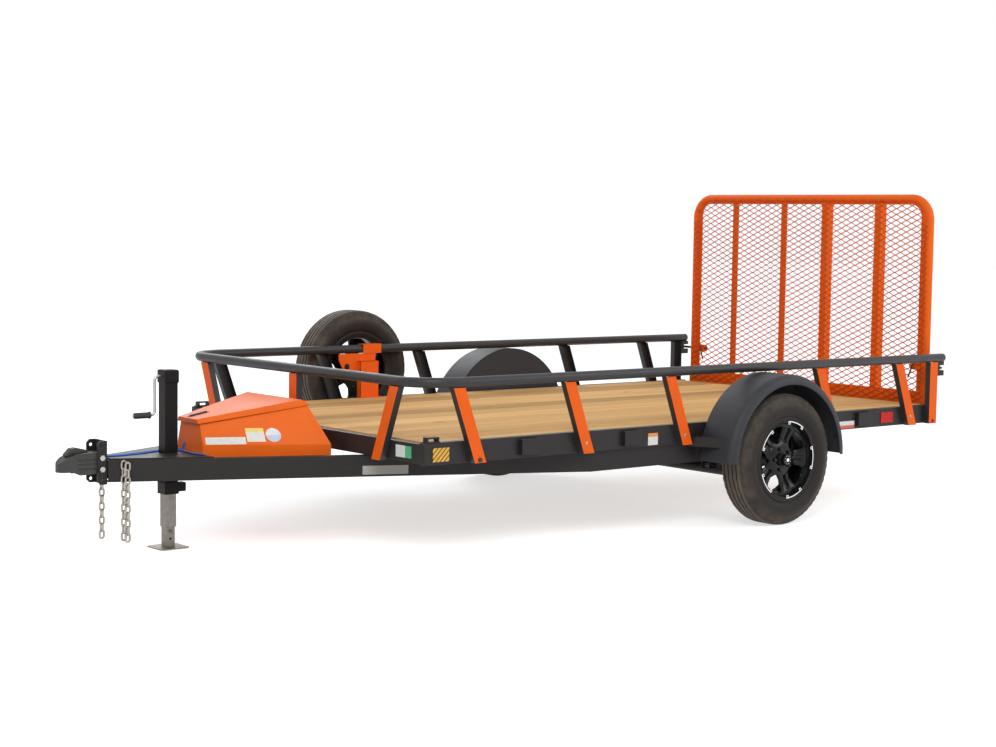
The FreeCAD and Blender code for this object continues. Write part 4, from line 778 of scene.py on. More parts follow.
def spoke_height(radius, across):
    """How far the face stands out along the axle, across a spoke from -1 to 1."""
    face = 0.046 - 0.012 * math.sin(math.pi * smooth_step(0.05, 0.175, radius))
    face += 0.006 * smooth_step(0.15, 0.185, radius)
    slot = smooth_step(0.088, 0.098, radius) * (1 - smooth_step(0.158, 0.168, radius))
    face -= 0.011 * slot * (1 - smooth_step(0.2, 0.3, abs(across)))
    face -= 0.006 * smooth_step(0.72, 1.0, abs(across)) * smooth_step(0.08, 0.1, radius)
    return face


def wheel_face():
    """Points, as along, out and angle, and faces of the spokes, with their front towards +along."""
    radii = [0.030, 0.036, 0.042, 0.050, 0.060, 0.070, 0.078, 0.084, 0.088, 0.092, 0.098, 0.105, 0.112, 0.122,
             0.132, 0.142, 0.152, 0.158, 0.163, 0.168, 0.172, 0.1745, 0.1765, 0.181, 0.186]
    cuts = [0, 0.19, 0.22, 0.29, 0.32, 0.5, 0.74, 0.88, 0.97, 1]
    cuts = [-across for across in cuts[:0:-1]] + cuts
    row, layer = len(cuts), len(radii) * len(cuts)
    points, faces = [], []
    for spoke in range(spoke_count):
        first = len(points)
        for front in (True, False):
            for radius in radii:
                for across in cuts:
                    angle = math.radians(spoke_turn * spoke + spoke_half_width(radius) * across)
                    points.append((spoke_height(radius, across) if front else 0.024, radius, angle))
        faces += quads(len(radii), row, around=False, first=first)
        faces += turned_over(quads(len(radii), row, around=False, first=first + layer))
        for index in range(len(radii) - 1):
            if min(spoke_half_width(radius) for radius in radii[index:index + 2]) < 35.9:
                near, far = first + index * row, first + (index + 1) * row - 1
                faces.append((near, near + row, near + row + layer, near + layer))
                faces.append((far + layer, far + row + layer, far + row, far))
    return points, faces


def around(shape, centre, side):
    """A wheel's points, given as along, out and angle, set in place on the left or right."""
    points, faces = shape
    return [Vector((centre[0] - math.cos(angle) * out, centre[1] + side * along, centre[2] + math.sin(angle) * out))
            for along, out, angle in points], faces


def arc_strip(middle, half, inner, outer, along, thick):
    """A thin curved strip on the wheel's lip."""
    steps = 14
    points = []
    for step in range(steps + 1):
        angle = math.radians(middle - half + 2 * half * step / steps)
        points += [(along, inner, angle), (along + thick, inner, angle), (along + thick, outer, angle),
                   (along, outer, angle)]
    return points, quads(steps + 1, 4) + [(0, 1, 2, 3), tuple(range(4 * steps, 4 * steps + 4))[::-1]]


def wheel_nut(out, seat_angle, wide, start, end):
    """Points and faces of a flat sided wheel nut with a domed end."""
    rings = [(start, wide), (end - 0.004, wide), (end - 0.001, wide * 0.8), (end, wide * 0.4)]
    sides = 12
    points = []
    for along, radius in rings:
        for turn in range(sides):
            angle = math.tau * turn / sides
            corner = radius * (1.0 if turn % 2 == 0 else 0.93)
            x = out * math.cos(seat_angle) + corner * math.cos(angle)
            z = out * math.sin(seat_angle) + corner * math.sin(angle)
            points.append((along, math.hypot(x, z), math.atan2(z, x)))
    return points, quads(len(rings), sides) + [tuple(range(len(points) - sides, len(points)))]


def turned(profile, steps, centre, side, closed=True):
    """Points and faces of a profile turned about a wheel's axle, with its front outward."""
    return revolved([(along * side, out) for along, out in profile], steps, centre, (0, 1, 0), closed)


bright_arcs, dark_arcs = [], []
for spoke in range(spoke_count):
    middle = spoke_turn * spoke
    bright_arcs.append(arc_strip(middle, 14, 0.1975, 0.2022, 0.0805, 0.0022))
    for end in (-1, 1):
        bright_arcs.append(arc_strip(middle + end * 15.4, 2.3, 0.186, 0.2024, 0.0788, 0.0042))
        dark_arcs.append(arc_strip(middle + end * 15.4, 1.15, 0.190, 0.1975, 0.0828, 0.0006))
nuts = [wheel_nut(0.057, math.radians(spoke_turn * (spoke + 0.5)), 0.0105, 0.04, 0.06)
        for spoke in range(spoke_count)]
cap_profile = [(0.03, 0.0345), (0.058, 0.0325), (0.076, 0.0295), (0.0815, 0.0275), (0.084, 0.024), (0.0848, 0.018),
               (0.085, 0.0002)]
ring_profile = [(0.0845, 0.0002), (0.0845, 0.0098), (0.0868, 0.0095), (0.0876, 0.0085), (0.0878, 0.0002)]
cap_screw = [(0, 0.0001), (0, 0.002), (0.0016, 0.0017), (0.002, 0.0001)]
cap_screws, cap_screw_out = 8, 0.0205

for name, body in wheels.items():
    side = 1 if name == "left" else -1
    centre = middle_of("tyre_" + name)
    rim = joined([turned(barrel_section, 96, centre, side), around(wheel_face(), centre, side)])
    add_piece("rim_%s_cast" % name, rim, wheel_black, body, "wheel_alloy", "rim_" + name)
    add_piece("rim_%s_accents" % name, around(joined(bright_arcs), centre, side), machined, body, "wheel_alloy")
    nuts_placed = around(joined(nuts + dark_arcs), centre, side)
    add_piece("rim_%s_nuts" % name, nuts_placed, wheel_black, body, "wheel_alloy")
    cap = turned(cap_profile, 40, centre, side, closed=False)
    add_piece("rim_%s_cap" % name, cap, wheel_black, body, "wheel_alloy")
    trims = [turned(ring_profile, 28, centre, side)]
    for screw in range(cap_screws):
        angle = math.tau * (screw + 0.5) / cap_screws
        seat = centre + Vector((cap_screw_out * math.cos(angle), side * 0.084, cap_screw_out * math.sin(angle)))
        trims.append(revolved(cap_screw, 8, seat, (0, side, 0)))
    add_piece("rim_%s_ring" % name, joined(trims), machined, body, "wheel_alloy")

for name in ("left", "right"):
    from_solid("hub_" + name, "hub_%s_turned" % name, frame_black, "wheel_" + name, "black_paint", 0.0008, 1, 40)

# Spare wheel bracket: steel plate folded to a channel that stands on the bed, with a clamp over the
# right rail and a stud plate for the wheel. It is welded together and coated orange.


def box_shape(low, high):
    """Points and faces of a block between two corners."""
    points = [Vector((x, y, z)) for x in (low[0], high[0]) for y in (low[1], high[1]) for z in (low[2], high[2])]
    return points, [(0, 1, 3, 2), (4, 6, 7, 5), (0, 4, 5, 1), (2, 3, 7, 6), (0, 2, 6, 4), (1, 5, 7, 3)]


def rounded_blocks(name, blocks, material, width, segments=2):
    """A piece of several blocks with rounded edges."""
    piece = mesh_piece(name, *joined(blocks), material)
    shape = bmesh.new()
    shape.from_mesh(piece.data)
    bmesh.ops.recalc_face_normals(shape, faces=shape.faces)
    bmesh.ops.bevel(shape, geom=shape.edges[:], offset=width, segments=segments, profile=0.5, affect="EDGES",
                    clamp_overlap=False)
    shape.to_mesh(piece.data)
    shape.free()
    return finish_edges(piece)


bracket_wall, bracket_top = 0.004, 0.752
bracket_front, bracket_rear = 1.132 + axle_x, 1.005 + axle_x
bracket_out, bracket_in = -bed_side, 0.034 - bed_side
clamp_front, clamp_rear = 1.092 + axle_x, 0.967 + axle_x
clamp_top = rail_z + rail_radius + bracket_wall
clamp_out, clamp_in = -rail_y - rail_radius, -rail_y + rail_radius
rail_under = rail_z - rail_radius
spare_middle = middle_of("tyre_spare")
spare_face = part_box("spare_bracket")[0].y
stud_half = 0.03
bracket_blocks = [box_shape(*corners) for corners in (
    ((bracket_rear, bracket_out, bed_level), (bracket_rear + bracket_wall, bracket_in, bracket_top)),
    ((bracket_front - bracket_wall, bracket_out, bed_level), (bracket_front, bracket_in, bracket_top)),
    ((bracket_rear, bracket_in - bracket_wall, bed_level), (bracket_front, bracket_in, bracket_top)),
    ((bracket_rear, bracket_out, bracket_top - bracket_wall), (bracket_front, bracket_in, bracket_top)),
    ((bracket_rear, bracket_in - bracket_wall, bed_level),
     (bracket_front, bracket_in + 0.034, bed_level + bracket_wall)),
    ((clamp_rear, clamp_out - bracket_wall, rail_under - 0.001), (clamp_front, clamp_out, clamp_top)),
    ((clamp_rear, clamp_in, rail_under - 0.001), (clamp_front, clamp_in + bracket_wall, clamp_top)),
    ((clamp_rear, clamp_out, rail_z + rail_radius), (clamp_front, clamp_in, clamp_top)),
    ((spare_middle.x - stud_half, spare_face, spare_middle.z - stud_half),
     (spare_middle.x + stud_half, bracket_out - bracket_wall, spare_middle.z + stud_half)))]
plate_front, plate_low = 1.258 + axle_x, 0.684
plate_outline = [(bracket_rear, plate_low), (plate_front - 0.038, plate_low), (plate_front, 0.762),
                 (plate_front, rail_under), (bracket_rear, rail_under)]
plate_points, plate_faces = upright_plate(plate_outline, bracket_out - bracket_wall, bracket_out)
bracket_blocks.append(([Vector((point.x, point.z, point.y)) for point in plate_points], plate_faces))
fit(rounded_blocks("spare_bracket_folded", bracket_blocks, safety_orange, 0.0011), "frame", "orange_paint",
    "spare_bracket")
stud_disc = revolved([(0, 0.0001), (0, 0.062), (0.008, 0.062), (0.008, 0.0001)], 48,
                     (spare_middle.x, spare_face, spare_middle.z), (0, 1, 0))
add_piece("spare_stud_disc", stud_disc, safety_orange, "frame", "orange_paint")
plate_bolt = revolved([(0, 0.0001), (0, 0.016), (0.004, 0.016), (0.006, 0.0145), (0.006, 0.009), (0.014, 0.009),
                       (0.0155, 0.0001)], 18, (plate_front - 0.055, bracket_out, 0.722), (0, 1, 0))
add_piece("spare_bracket_bolt", plate_bolt, frame_black, "frame", "orange_paint")

# Corner lugs: a short steel plate at each front corner of the deck, with a loop of square bar
# welded on it for a strap's hook. Both are coated black with the frame.

lugs = []
for side in (1, -1):
    low_y, high_y = sorted((side * (bed_side - 0.038), side * (bed_side - 0.004)))
    for x_from, x_to, base, top in ((2.105, 2.190, 0.0, 0.005), (2.112, 2.120, 0.0, 0.020),
                                    (2.172, 2.180, 0.0, 0.020), (2.112, 2.180, 0.018, 0.026)):
        lugs.append(box_shape((x_from + axle_x, low_y, bed_level + base), (x_to + axle_x, high_y, bed_level + top)))
fit(rounded_blocks("deck_corner_lugs", lugs, frame_black, 0.001), "frame", "black_paint")

# Jack: a square steel tube with a gear head, welded to the tongue plate. The crank is plated wire
# rod with a black grip, and the drop leg below is galvanised.

jack_black = powder_coat("jack_black", (0.007, 0.0055, 0.005, 1), 0.42, 0.14, 0.03)
galvanised = bright_metal("galvanised", (0.34, 0.305, 0.265, 1), 0.5, 70.0, 0.45)
plated_rod = bright_metal("plated_rod", (0.5, 0.49, 0.47, 1), 0.34, 160.0, 0.2)
from_solid("jack_tube", "jack_tube_coated", jack_black, "frame", "black_paint", 0.0028, 3)
from_solid("jack_inner_tube", "jack_leg_tube", galvanised, "jack_leg", "zinc", 0.002, 3)
from_solid("jack_foot", "jack_foot_plate", galvanised, "jack_leg", "zinc", 0.0012, 2, 50)
crank_low, crank_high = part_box("jack_crank")
crank_radius, crank_bend, crank_reach = 0.0068, 0.018, 0.034
crank_z = crank_high.z - crank_radius
grip_z = crank_low.z + crank_radius
crank_path = rounded([(crank_low.x, 0, crank_z), (crank_low.x + crank_reach, 0, crank_z),
                      (crank_low.x + crank_reach, 0, grip_z), (crank_high.x, 0, grip_z)], crank_bend, 8)
fit(mesh_piece("jack_crank_rod", *swept(crank_path, crank_radius, 16, (0, 1, 0)), plated_rod, 50), "frame", "zinc",
    "jack_crank")


def moulded(name, colour, roughness):
    """Moulded plastic or rubber with a fine grain."""
    material, tree, surface = shader(name)
    place = own_place(tree)
    cloud = cloudy(tree, place, 30.0, 6.0)
    feed(tree, surface, {"Base Color": mixed(tree, cloud, colour, shade(colour, 1.35, 0.006)),
                         "Roughness": spread(tree, cloud, 0.3, 0.7, roughness - 0.06, roughness + 0.08),
                         "Normal": relief(tree, cloudy(tree, place, 700.0, 2.0), 0.15, 0.0004)})
    return material


black_plastic = moulded("black_plastic", (0.014, 0.014, 0.015, 1), 0.45)
grip_low, grip_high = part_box("crank_grip")
grip_long = grip_high.x - grip_low.x
rib_count = 9
rib_pitch = (grip_long - 0.022) / rib_count
grip_profile = [(0.0, crank_radius), (0.0, 0.0155), (0.002, 0.0172), (0.006, 0.0172), (0.0085, 0.0148)]
for rib in range(rib_count):
    begin = 0.012 + rib_pitch * rib
    grip_profile += [(begin, 0.0132), (begin + rib_pitch * 0.3, 0.0146), (begin + rib_pitch * 0.7, 0.0146)]
grip_profile += [(grip_long - 0.006, 0.0138), (grip_long - 0.0015, 0.0128), (grip_long, 0.011),
                 (grip_long, crank_radius)]
grip = revolved(grip_profile, 32, (grip_low.x, 0, grip_z), (1, 0, 0))
add_piece("crank_grip_ribbed", grip, black_plastic, "frame", "black_plastic", "crank_grip")

# Coupler: a cast iron ball socket with ribbed flanks and a latch on top. Two bolts hold it between
# the flanges of a height channel at the tip of the tongue.


def cast_iron():
    """Sand-cast iron under thin black paint, rough and a little worn."""
    material, tree, surface = shader("cast_iron")
    place = own_place(tree)
    cloud = cloudy(tree, place, 24.0, 8.0, 0.7)
    tones = colours_along(tree, cloud, (0.3, (0.014, 0.014, 0.014, 1)), (0.78, (0.06, 0.057, 0.052, 1)))
    feed(tree, surface, {"Base Color": tones, "Roughness": spread(tree, cloud, 0.3, 0.7, 0.38, 0.62),
                         "Normal": relief(tree, cloudy(tree, place, 260.0, 6.0, 0.7), 0.4, 0.0012)})
    return material


casting = cast_iron()
from_solid("coupler", "coupler_casting", casting, "frame", "cast_black", 0.0016, 2, 40)
from_solid("coupler_latch", "coupler_latch_casting", casting, "frame", "cast_black", 0.003, 3)
from_solid("coupler_adjuster", "coupler_channel", frame_black, "frame", "black_paint", 0.0014, 2, 50)
from_solid("coupler_bolts", "coupler_bolt_heads", plated_rod, "frame", "zinc", 0.0009)

# Safety chains: bright zinc proof coil chain, each link bent from round wire and welded. They are
# bolted under the tongue on both sides and left hanging in three strands.

chain_wire, chain_wide, chain_long = 0.0048, 0.031, 0.047
chain_step = chain_long - 0.014 - 0.0004
second_x, strand_shift = 3.179 + axle_x, 0.014


def chain_link(centre, turned):
    """Points and faces of one link of round wire, upright, facing along or across."""
    half = chain_wide / 2 - chain_wire
    straight = chain_long / 2 - chain_wire - half
    flat_way, across = (Vector((0, 1, 0)), Vector((-1, 0, 0))) if turned else (Vector((1, 0, 0)), Vector((0, 1, 0)))
    path = []
    for end in (1, -1):
        for step in range(9):
            angle = math.pi * step / 8
            path.append(centre + flat_way * math.cos(angle) * half * end
                        + Vector((0, 0, 1)) * (end * (straight + math.sin(angle) * half)))
    return swept(path, chain_wire, 10, across, closed=True)


def read_links():
    """The middle of each link of the solid chain, with the way that it faces."""
    shape = bmesh.new()
    shape.from_mesh(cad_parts["safety_chains"].data)
    bmesh.ops.remove_doubles(shape, verts=shape.verts, dist=0.00002)
    left = set(shape.verts)
    links = []
    while left:
        stack = [left.pop()]
        island = list(stack)
        while stack:
            for edge in stack.pop().link_edges:
                for vert in edge.verts:
                    if vert in left:
                        left.discard(vert)
                        stack.append(vert)
                        island.append(vert)
        low = Vector([min(vert.co[axis] for vert in island) for axis in range(3)])
        high = Vector([max(vert.co[axis] for vert in island) for axis in range(3)])
        links.append(((low + high) / 2, (high.y - low.y) > (high.x - low.x)))
    shape.free()
    return sorted(links, key=lambda link: (round(link[0].y, 2), link[0].z))


chain_zinc = bright_metal("chain_zinc", (0.52, 0.47, 0.41, 1), 0.32, 180.0, 0.4)
hung = read_links()
second_strand = [link for link in hung if link[0].y > 0 and abs(link[0].x - second_x) < 0.008]
for centre, turned in second_strand:
    centre.x += strand_shift
strand_top, strand_turned = second_strand[-1]
for count in range(1, 6):
    hung.append((strand_top + Vector((0, 0, chain_step * count)), strand_turned ^ bool(count % 2)))
add_piece("chain_links", joined([chain_link(*link) for link in hung]), chain_zinc, "frame", "zinc", "safety_chains")

# Toolbox: folded sheet steel between the tongue beams, welded at the corners and powder coated. Its
# side walls lean in above a low upright band, and twist a little from front to rear.

# The box takes a large share of paler orange on what faces up: painted light on its leaning walls and lid.
box_orange = powder_coat("box_orange", (0.95, 0.15, 0.008, 1), 0.42, 0.15, 0.26, (0.96, 0.34, 0.12, 1))
box_sheet = 0.003
box_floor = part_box("toolbox_body")[0].z
box_bend_front, box_bend_rear = Vector((2.804, 0.116, 0.487)), Vector((2.263, 0.382, 0.484))
box_seam_front, box_seam_rear = Vector((2.804, 0.088, 0.5835)), Vector((2.317, 0.260, 0.6595))


def box_wall(back, rise):
    """A place on the left side wall: back from the front end, and up from the bend to the seam."""
    low, high = box_bend_front.lerp(box_bend_rear, back), box_seam_front.lerp(box_seam_rear, back)
    return low.lerp(high, rise) + Vector((axle_x, 0, 0))


def flipped(place):
    """The same place on the right side."""
    return Vector((place[0], -place[1], place[2]))


def folded_sheet(name, points, faces, round_edge):
    """A piece of folded sheet: its outside, with rounded folds, and its thickness behind it."""
    piece = mesh_piece(name, points, faces, box_orange)
    shape = bmesh.new()
    shape.from_mesh(piece.data)
    bmesh.ops.remove_doubles(shape, verts=shape.verts, dist=0.00005)
    bmesh.ops.recalc_face_normals(shape, faces=shape.faces)
    folds = [edge for edge in shape.edges if edge.is_manifold and edge.calc_face_angle(0) > math.radians(12)]
    bmesh.ops.bevel(shape, geom=folds, offset=round_edge, segments=3, profile=0.5, affect="EDGES",
                    clamp_overlap=True)
    shape.to_mesh(piece.data)
    shape.free()
    sheet_behind = piece.modifiers.new("sheet", "SOLIDIFY")
    sheet_behind.thickness = box_sheet
    sheet_behind.offset = -1
    sheet_behind.use_even_offset = True
    return finish_edges(piece)


def toolbox_shell():
    """Points and faces of the box, open at the top."""
    spans, rises = 12, 4
    column = rises + 2
    left = []
    for span in range(spans + 1):
        wall = [box_wall(span / spans, rise / rises) for rise in range(rises + 1)]
        left += [Vector((wall[0].x, wall[0].y, box_floor))] + wall
    other = len(left)
    points = left + [flipped(place) for place in left]
    faces = []
    for first in (0, other):
        faces += turned_over(quads(spans + 1, column, around=False, first=first))
    for end in (0, spans * column):
        faces += [(end + row, end + row + 1, other + end + row + 1, other + end + row) for row in range(column - 1)]
    faces += [(a, a + column, other + a + column, other + a) for a in range(0, spans * column, column)]
    return points, faces


fit(folded_sheet("toolbox_folded", *toolbox_shell(), 0.003), "frame", "orange_paint", "toolbox_body")

# Lid: a shallow folded pan whose top slopes down to the front from a crease near the rear. It turns
# on a knuckle hinge along the rear edge of the box, and its front lip overhangs the box.

lid_front_low, lid_front_top = (2.8165, 0.0965, 0.585), (2.821, 0.084, 0.606)
lid_crease_low, lid_crease_top = (2.342, 0.2546, 0.6585), (2.342, 0.244, 0.690)
lid_rear_low, lid_rear_top = (2.3125, 0.2655, 0.663), (2.311, 0.262, 0.6695)
lid_left = [Vector(place) + Vector((axle_x, 0, 0)) for place in
            (lid_front_low, lid_front_top, lid_crease_low, lid_crease_top, lid_rear_low, lid_rear_top)]
lid_faces = [(0, 2, 3, 1), (2, 4, 5, 3), (6, 7, 9, 8), (8, 9, 11, 10), (0, 1, 7, 6), (1, 3, 9, 7), (3, 5, 11, 9),
             (5, 4, 10, 11)]
fit(folded_sheet("toolbox_lid_folded", lid_left + [flipped(place) for place in lid_left], lid_faces, 0.0035), "lid",
    "orange_paint", "toolbox_lid")
hinge_x, hinge_z = 2.298 + axle_x, 0.667
knuckle_long = 0.066
knuckle_profile = [(0, 0.0025), (0, 0.0055), (0.0006, 0.006), (knuckle_long - 0.0006, 0.006),
                   (knuckle_long, 0.0055), (knuckle_long, 0.0025)]
body_knuckles = []
for side in (1, -1):
    for place in (0.070, 0.136):
        body_knuckles.append(revolved(knuckle_profile, 20, (hinge_x, side * place, hinge_z), (0, side, 0)))
    low_y, high_y = sorted((side * 0.070, side * 0.200))
    body_knuckles.append(box_shape((hinge_x - 0.005, low_y, 0.633), (hinge_x - 0.002, high_y, 0.664)))
    body_knuckles.append(box_shape((hinge_x - 0.005, low_y, 0.633), (hinge_x + 0.012, high_y, 0.636)))
add_piece("toolbox_hinge", joined(body_knuckles), box_orange, "frame", "orange_paint")
lid_knuckles = [revolved(knuckle_profile, 20, (hinge_x, start, hinge_z), (0, 1, 0))
                for start in (-knuckle_long, 0.0)]
lid_knuckles.append(box_shape((hinge_x, -0.064, hinge_z + 0.0035), (hinge_x + 0.0155, 0.064, hinge_z + 0.006)))
add_piece("lid_hinge_leaf", joined(lid_knuckles), box_orange, "lid", "orange_paint")

# Lid pull: a flush black plastic moulding with a grip bar. It is set in the lid along its slope, near
# the front and a little to the right of the middle.


def set_on_slope(blocks, place, along, across):
    """Blocks moved from flat to a slope: along it, across it and out from it."""
    out = along.cross(across).normalized()
    return [([place + along * p.x + across * p.y + out * p.z for p in points], faces) for points, faces in blocks]


lid_slope = Vector(lid_front_top) - Vector(lid_crease_top)
lid_slope.y = 0
lid_slope.normalize()
pull_back, pull_side = 0.072, -0.016
pull_place = Vector(lid_front_top) - lid_slope * pull_back
pull_place = Vector((pull_place.x + axle_x, pull_side, pull_place.z))
pull_blocks = [box_shape((-0.054, -0.0135, -0.001), (0.054, 0.0135, 0.0024)),
               box_shape((-0.045, -0.0048, 0.001), (0.045, 0.0048, 0.0072))]
pull_blocks = set_on_slope(pull_blocks, pull_place, lid_slope, Vector((0, 1, 0)))
fit(rounded_blocks("lid_pull", pull_blocks, black_plastic, 0.0009), "lid", "black_plastic", "lid_handle")

# Labels: plain coloured vinyl, stuck on the toolbox's left wall and on the side and end channels,
# and a grey plate on the left tongue beam.


def vinyl(name, colour, band, level, way="Z"):
    """Scuffed vinyl with one ground colour, and another past a level."""
    material, tree, surface = shader(name)
    place = own_place(tree)
    scuffs = cloudy(tree, place, 55.0, 6.0, 0.65)
    past = worked_out(tree, "GREATER_THAN", part_of(tree, place, way), level)
    grime = spread(tree, scuffs, 0.45, 0.8, 0.0, 0.35)
    feed(tree, surface, {"Base Color": mixed(tree, grime, mixed(tree, past, colour, band), (0.42, 0.4, 0.37, 1)),
                         "Roughness": spread(tree, scuffs, 0.3, 0.7, 0.35, 0.5)})
    return material


def wall_place(x, z, lift):
    """A place on the toolbox's left wall, by where it is along the trailer and how high."""
    back = 0.2
    for estimate in range(6):
        low, high = box_bend_front.lerp(box_bend_rear, back), box_seam_front.lerp(box_seam_rear, back)
        rise = (z - low.z) / (high.z - low.z)
        wall_rear = box_bend_rear.x + rise * (box_seam_rear.x - box_bend_rear.x)
        back = (box_bend_front.x - x) / (box_bend_front.x - wall_rear)
    here = box_wall(back, rise)
    out = (box_wall(back, rise + 0.02) - here).cross(box_wall(back + 0.02, rise) - here).normalized()
    if out.y < 0:
        out = -out
    return here + out * lift


def wall_label(x_from, x_to, low, high, is_round):
    """Points and faces of a thin label that follows the toolbox's left wall."""
    cells = 9
    across = [cell / (cells - 1) * 2 - 1 for cell in range(cells)]
    points = []
    for lift in (0.0007, -0.0002):
        for v in across:
            for u in across:
                right_by, up_by = u, v
                if is_round:
                    right_by, up_by = u * math.sqrt(1 - v * v / 2), v * math.sqrt(1 - u * u / 2)
                points.append(wall_place((x_from + x_to) / 2 + right_by * (x_to - x_from) / 2,
                                         (low + high) / 2 + up_by * (high - low) / 2, lift))
    count = cells * cells
    rim = (list(range(cells)) + [row * cells + cells - 1 for row in range(1, cells)]
           + list(range(count - 2, count - cells - 1, -1)) + [row * cells for row in range(cells - 2, 0, -1)])
    faces = quads(cells, cells, around=False) + turned_over(quads(cells, cells, around=False, first=count))
    faces += [(a, b, count + b, count + a) for a, b in zip(rim, rim[1:] + rim[:1])]
    return points, faces


label_white = vinyl("label_white", (0.78, 0.76, 0.71, 1), (0.78, 0.76, 0.71, 1), 9.0)
label_yellow_top = vinyl("label_yellow_top", (0.8, 0.76, 0.68, 1), (0.9, 0.66, 0.14, 1), 0.544)
label_round = vinyl("label_round", (0.55, 0.62, 0.76, 1), (0.8, 0.8, 0.82, 1), 0.529)
for label_name, label_sheet, label_spot in (("label_strip", label_white, (2.790, 2.621, 0.4885, 0.5215, False)),
                                            ("label_panel", label_yellow_top, (2.615, 2.538, 0.499, 0.561, False)),
                                            ("label_disc", label_round, (2.532, 2.468, 0.4975, 0.5605, True))):
    add_piece(label_name, wall_label(*label_spot), label_sheet, "frame", "orange_paint")

side_label = vinyl("side_label", (0.78, 0.76, 0.72, 1), (0.86, 0.3, 0.05, 1), 0.492)
end_label = vinyl("end_label", (0.74, 0.77, 0.72, 1), (0.06, 0.45, 0.2, 1), 0.884, "Y")
rear_label = vinyl("rear_label", (0.74, 0.1, 0.06, 1), (0.8, 0.78, 0.75, 1), 0.466)
data_plate = vinyl("data_plate", (0.4, 0.38, 0.35, 1), (0.4, 0.38, 0.35, 1), 9.0)
side_sheet, end_sheet = (bed_side - 0.0005, bed_side + 0.0006), (side_high.x - 0.0005, side_high.x + 0.0006)
for label_name, label_sheet, x_span, y_span, z_span in (
        ("label_side", side_label, (0.735 + axle_x, 0.803 + axle_x), side_sheet, (0.45, 0.51)),
        ("label_end", end_label, end_sheet, (0.812, 0.932), (0.467, 0.522)),
        ("label_rear", rear_label, (-0.78 + axle_x, -0.65 + axle_x), side_sheet, (0.449, 0.489))):
    low, high = zip(x_span, y_span, z_span)
    fit(mesh_piece(label_name, *box_shape(low, high), label_sheet), "frame", "black_paint")
beam_angle = math.radians(24.2)
tongue_way = Vector((-math.cos(beam_angle), math.sin(beam_angle), 0))
tongue_out = Vector((math.sin(beam_angle), math.cos(beam_angle), 0))
plate_spot = Vector((2.097 + axle_x, 0.067 + (3.262 - 2.097) * math.tan(beam_angle), 0.372))
flat_points, flat_faces = box_shape((-0.11, -0.0009, -0.021), (0.11, 0.0009, 0.021))
plate_points = [plate_spot + tongue_way * point.x + tongue_out * point.y + Vector((0, 0, point.z))
                for point in flat_points]
fit(mesh_piece("data_plate_blank", plate_points, flat_faces, data_plate), "frame", "black_paint")

# Ramp gate: a hoop of bent tube on a box sill, four angle bars behind, and expanded steel mesh
# welded to the front of it. All of it is coated orange, and it turns on two pins at the sill.

# The gate takes a little paler orange on what faces up: painted light.
gate_orange = powder_coat("gate_orange", (0.98, 0.138, 0.007, 1), 0.42, 0.15, 0.05, orange_top_light)
gate_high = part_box("gate_frame")[1]
mesh_low, mesh_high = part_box("gate_mesh")
gate_radius, gate_bend, gate_foot = 0.024, 0.128, 0.60
gate_x = -1.50 + axle_x
gate_y = gate_high.y - gate_radius
gate_z = gate_high.z - gate_radius
sill_low, sill_top = 0.536, 0.611


def arch(x, aside, below, foot, bend):
    """The hoop's line, or one inside it, up one side of the gate, across and down the other."""
    wide, top = gate_y - aside, gate_z - below
    return rounded([(x, -wide, foot), (x, -wide, top), (x, wide, top), (x, wide, foot)], bend, 14)


hoop = swept(arch(gate_x, 0, 0, gate_foot, gate_bend), gate_radius, 32, (1, 0, 0))
add_piece("gate_hoop", hoop, gate_orange, "gate", "orange_paint", "gate_frame")
sill = box_shape((gate_x - 0.02, -gate_high.y, sill_low), (gate_x + 0.02, gate_high.y, sill_top))
fit(rounded_blocks("gate_sill", [sill], gate_orange, 0.004, 3), "gate", "orange_paint")


def edge_strip():
    """Points and faces of the flat strip welded inside the hoop, which the mesh is welded to."""
    rear, front = gate_x + 0.004, gate_x + 0.010
    outer = arch(rear, 0.02, 0.02, sill_top - 0.002, gate_bend - 0.02)
    inner = arch(rear, 0.055, 0.035, sill_top - 0.002, 0.075)
    points = []
    for out, into in zip(outer, inner):
        points += [out, into, Vector((front, into.y, into.z)), Vector((front, out.y, out.z))]
    return points, quads(len(outer), 4) + [(0, 1, 2, 3), tuple(range(len(points) - 4, len(points)))]


add_piece("gate_edge_strip", edge_strip(), gate_orange, "gate", "orange_paint")
pin_x, pin_y, pin_z, barrel_half = -1.528 + axle_x, 0.86, 0.52, 0.03
barrel_profile = [(-barrel_half, 0.0086), (-barrel_half, 0.0142), (-0.0292, 0.015), (0.0292, 0.015),
                  (barrel_half, 0.0142), (barrel_half, 0.0086)]
barrels = []
for side in (1, -1):
    barrels.append(revolved(barrel_profile, 28, (pin_x, side * pin_y, pin_z), (0, 1, 0)))
    barrels.append(box_shape((pin_x, side * pin_y - barrel_half, 0.533),
                             (pin_x + 0.008, side * pin_y + barrel_half, 0.586)))
add_piece("gate_barrels", joined(barrels), gate_orange, "gate", "orange_paint")
from_solid("gate_bars", "gate_angle_bars", gate_orange, "gate", "orange_paint", 0.0012)


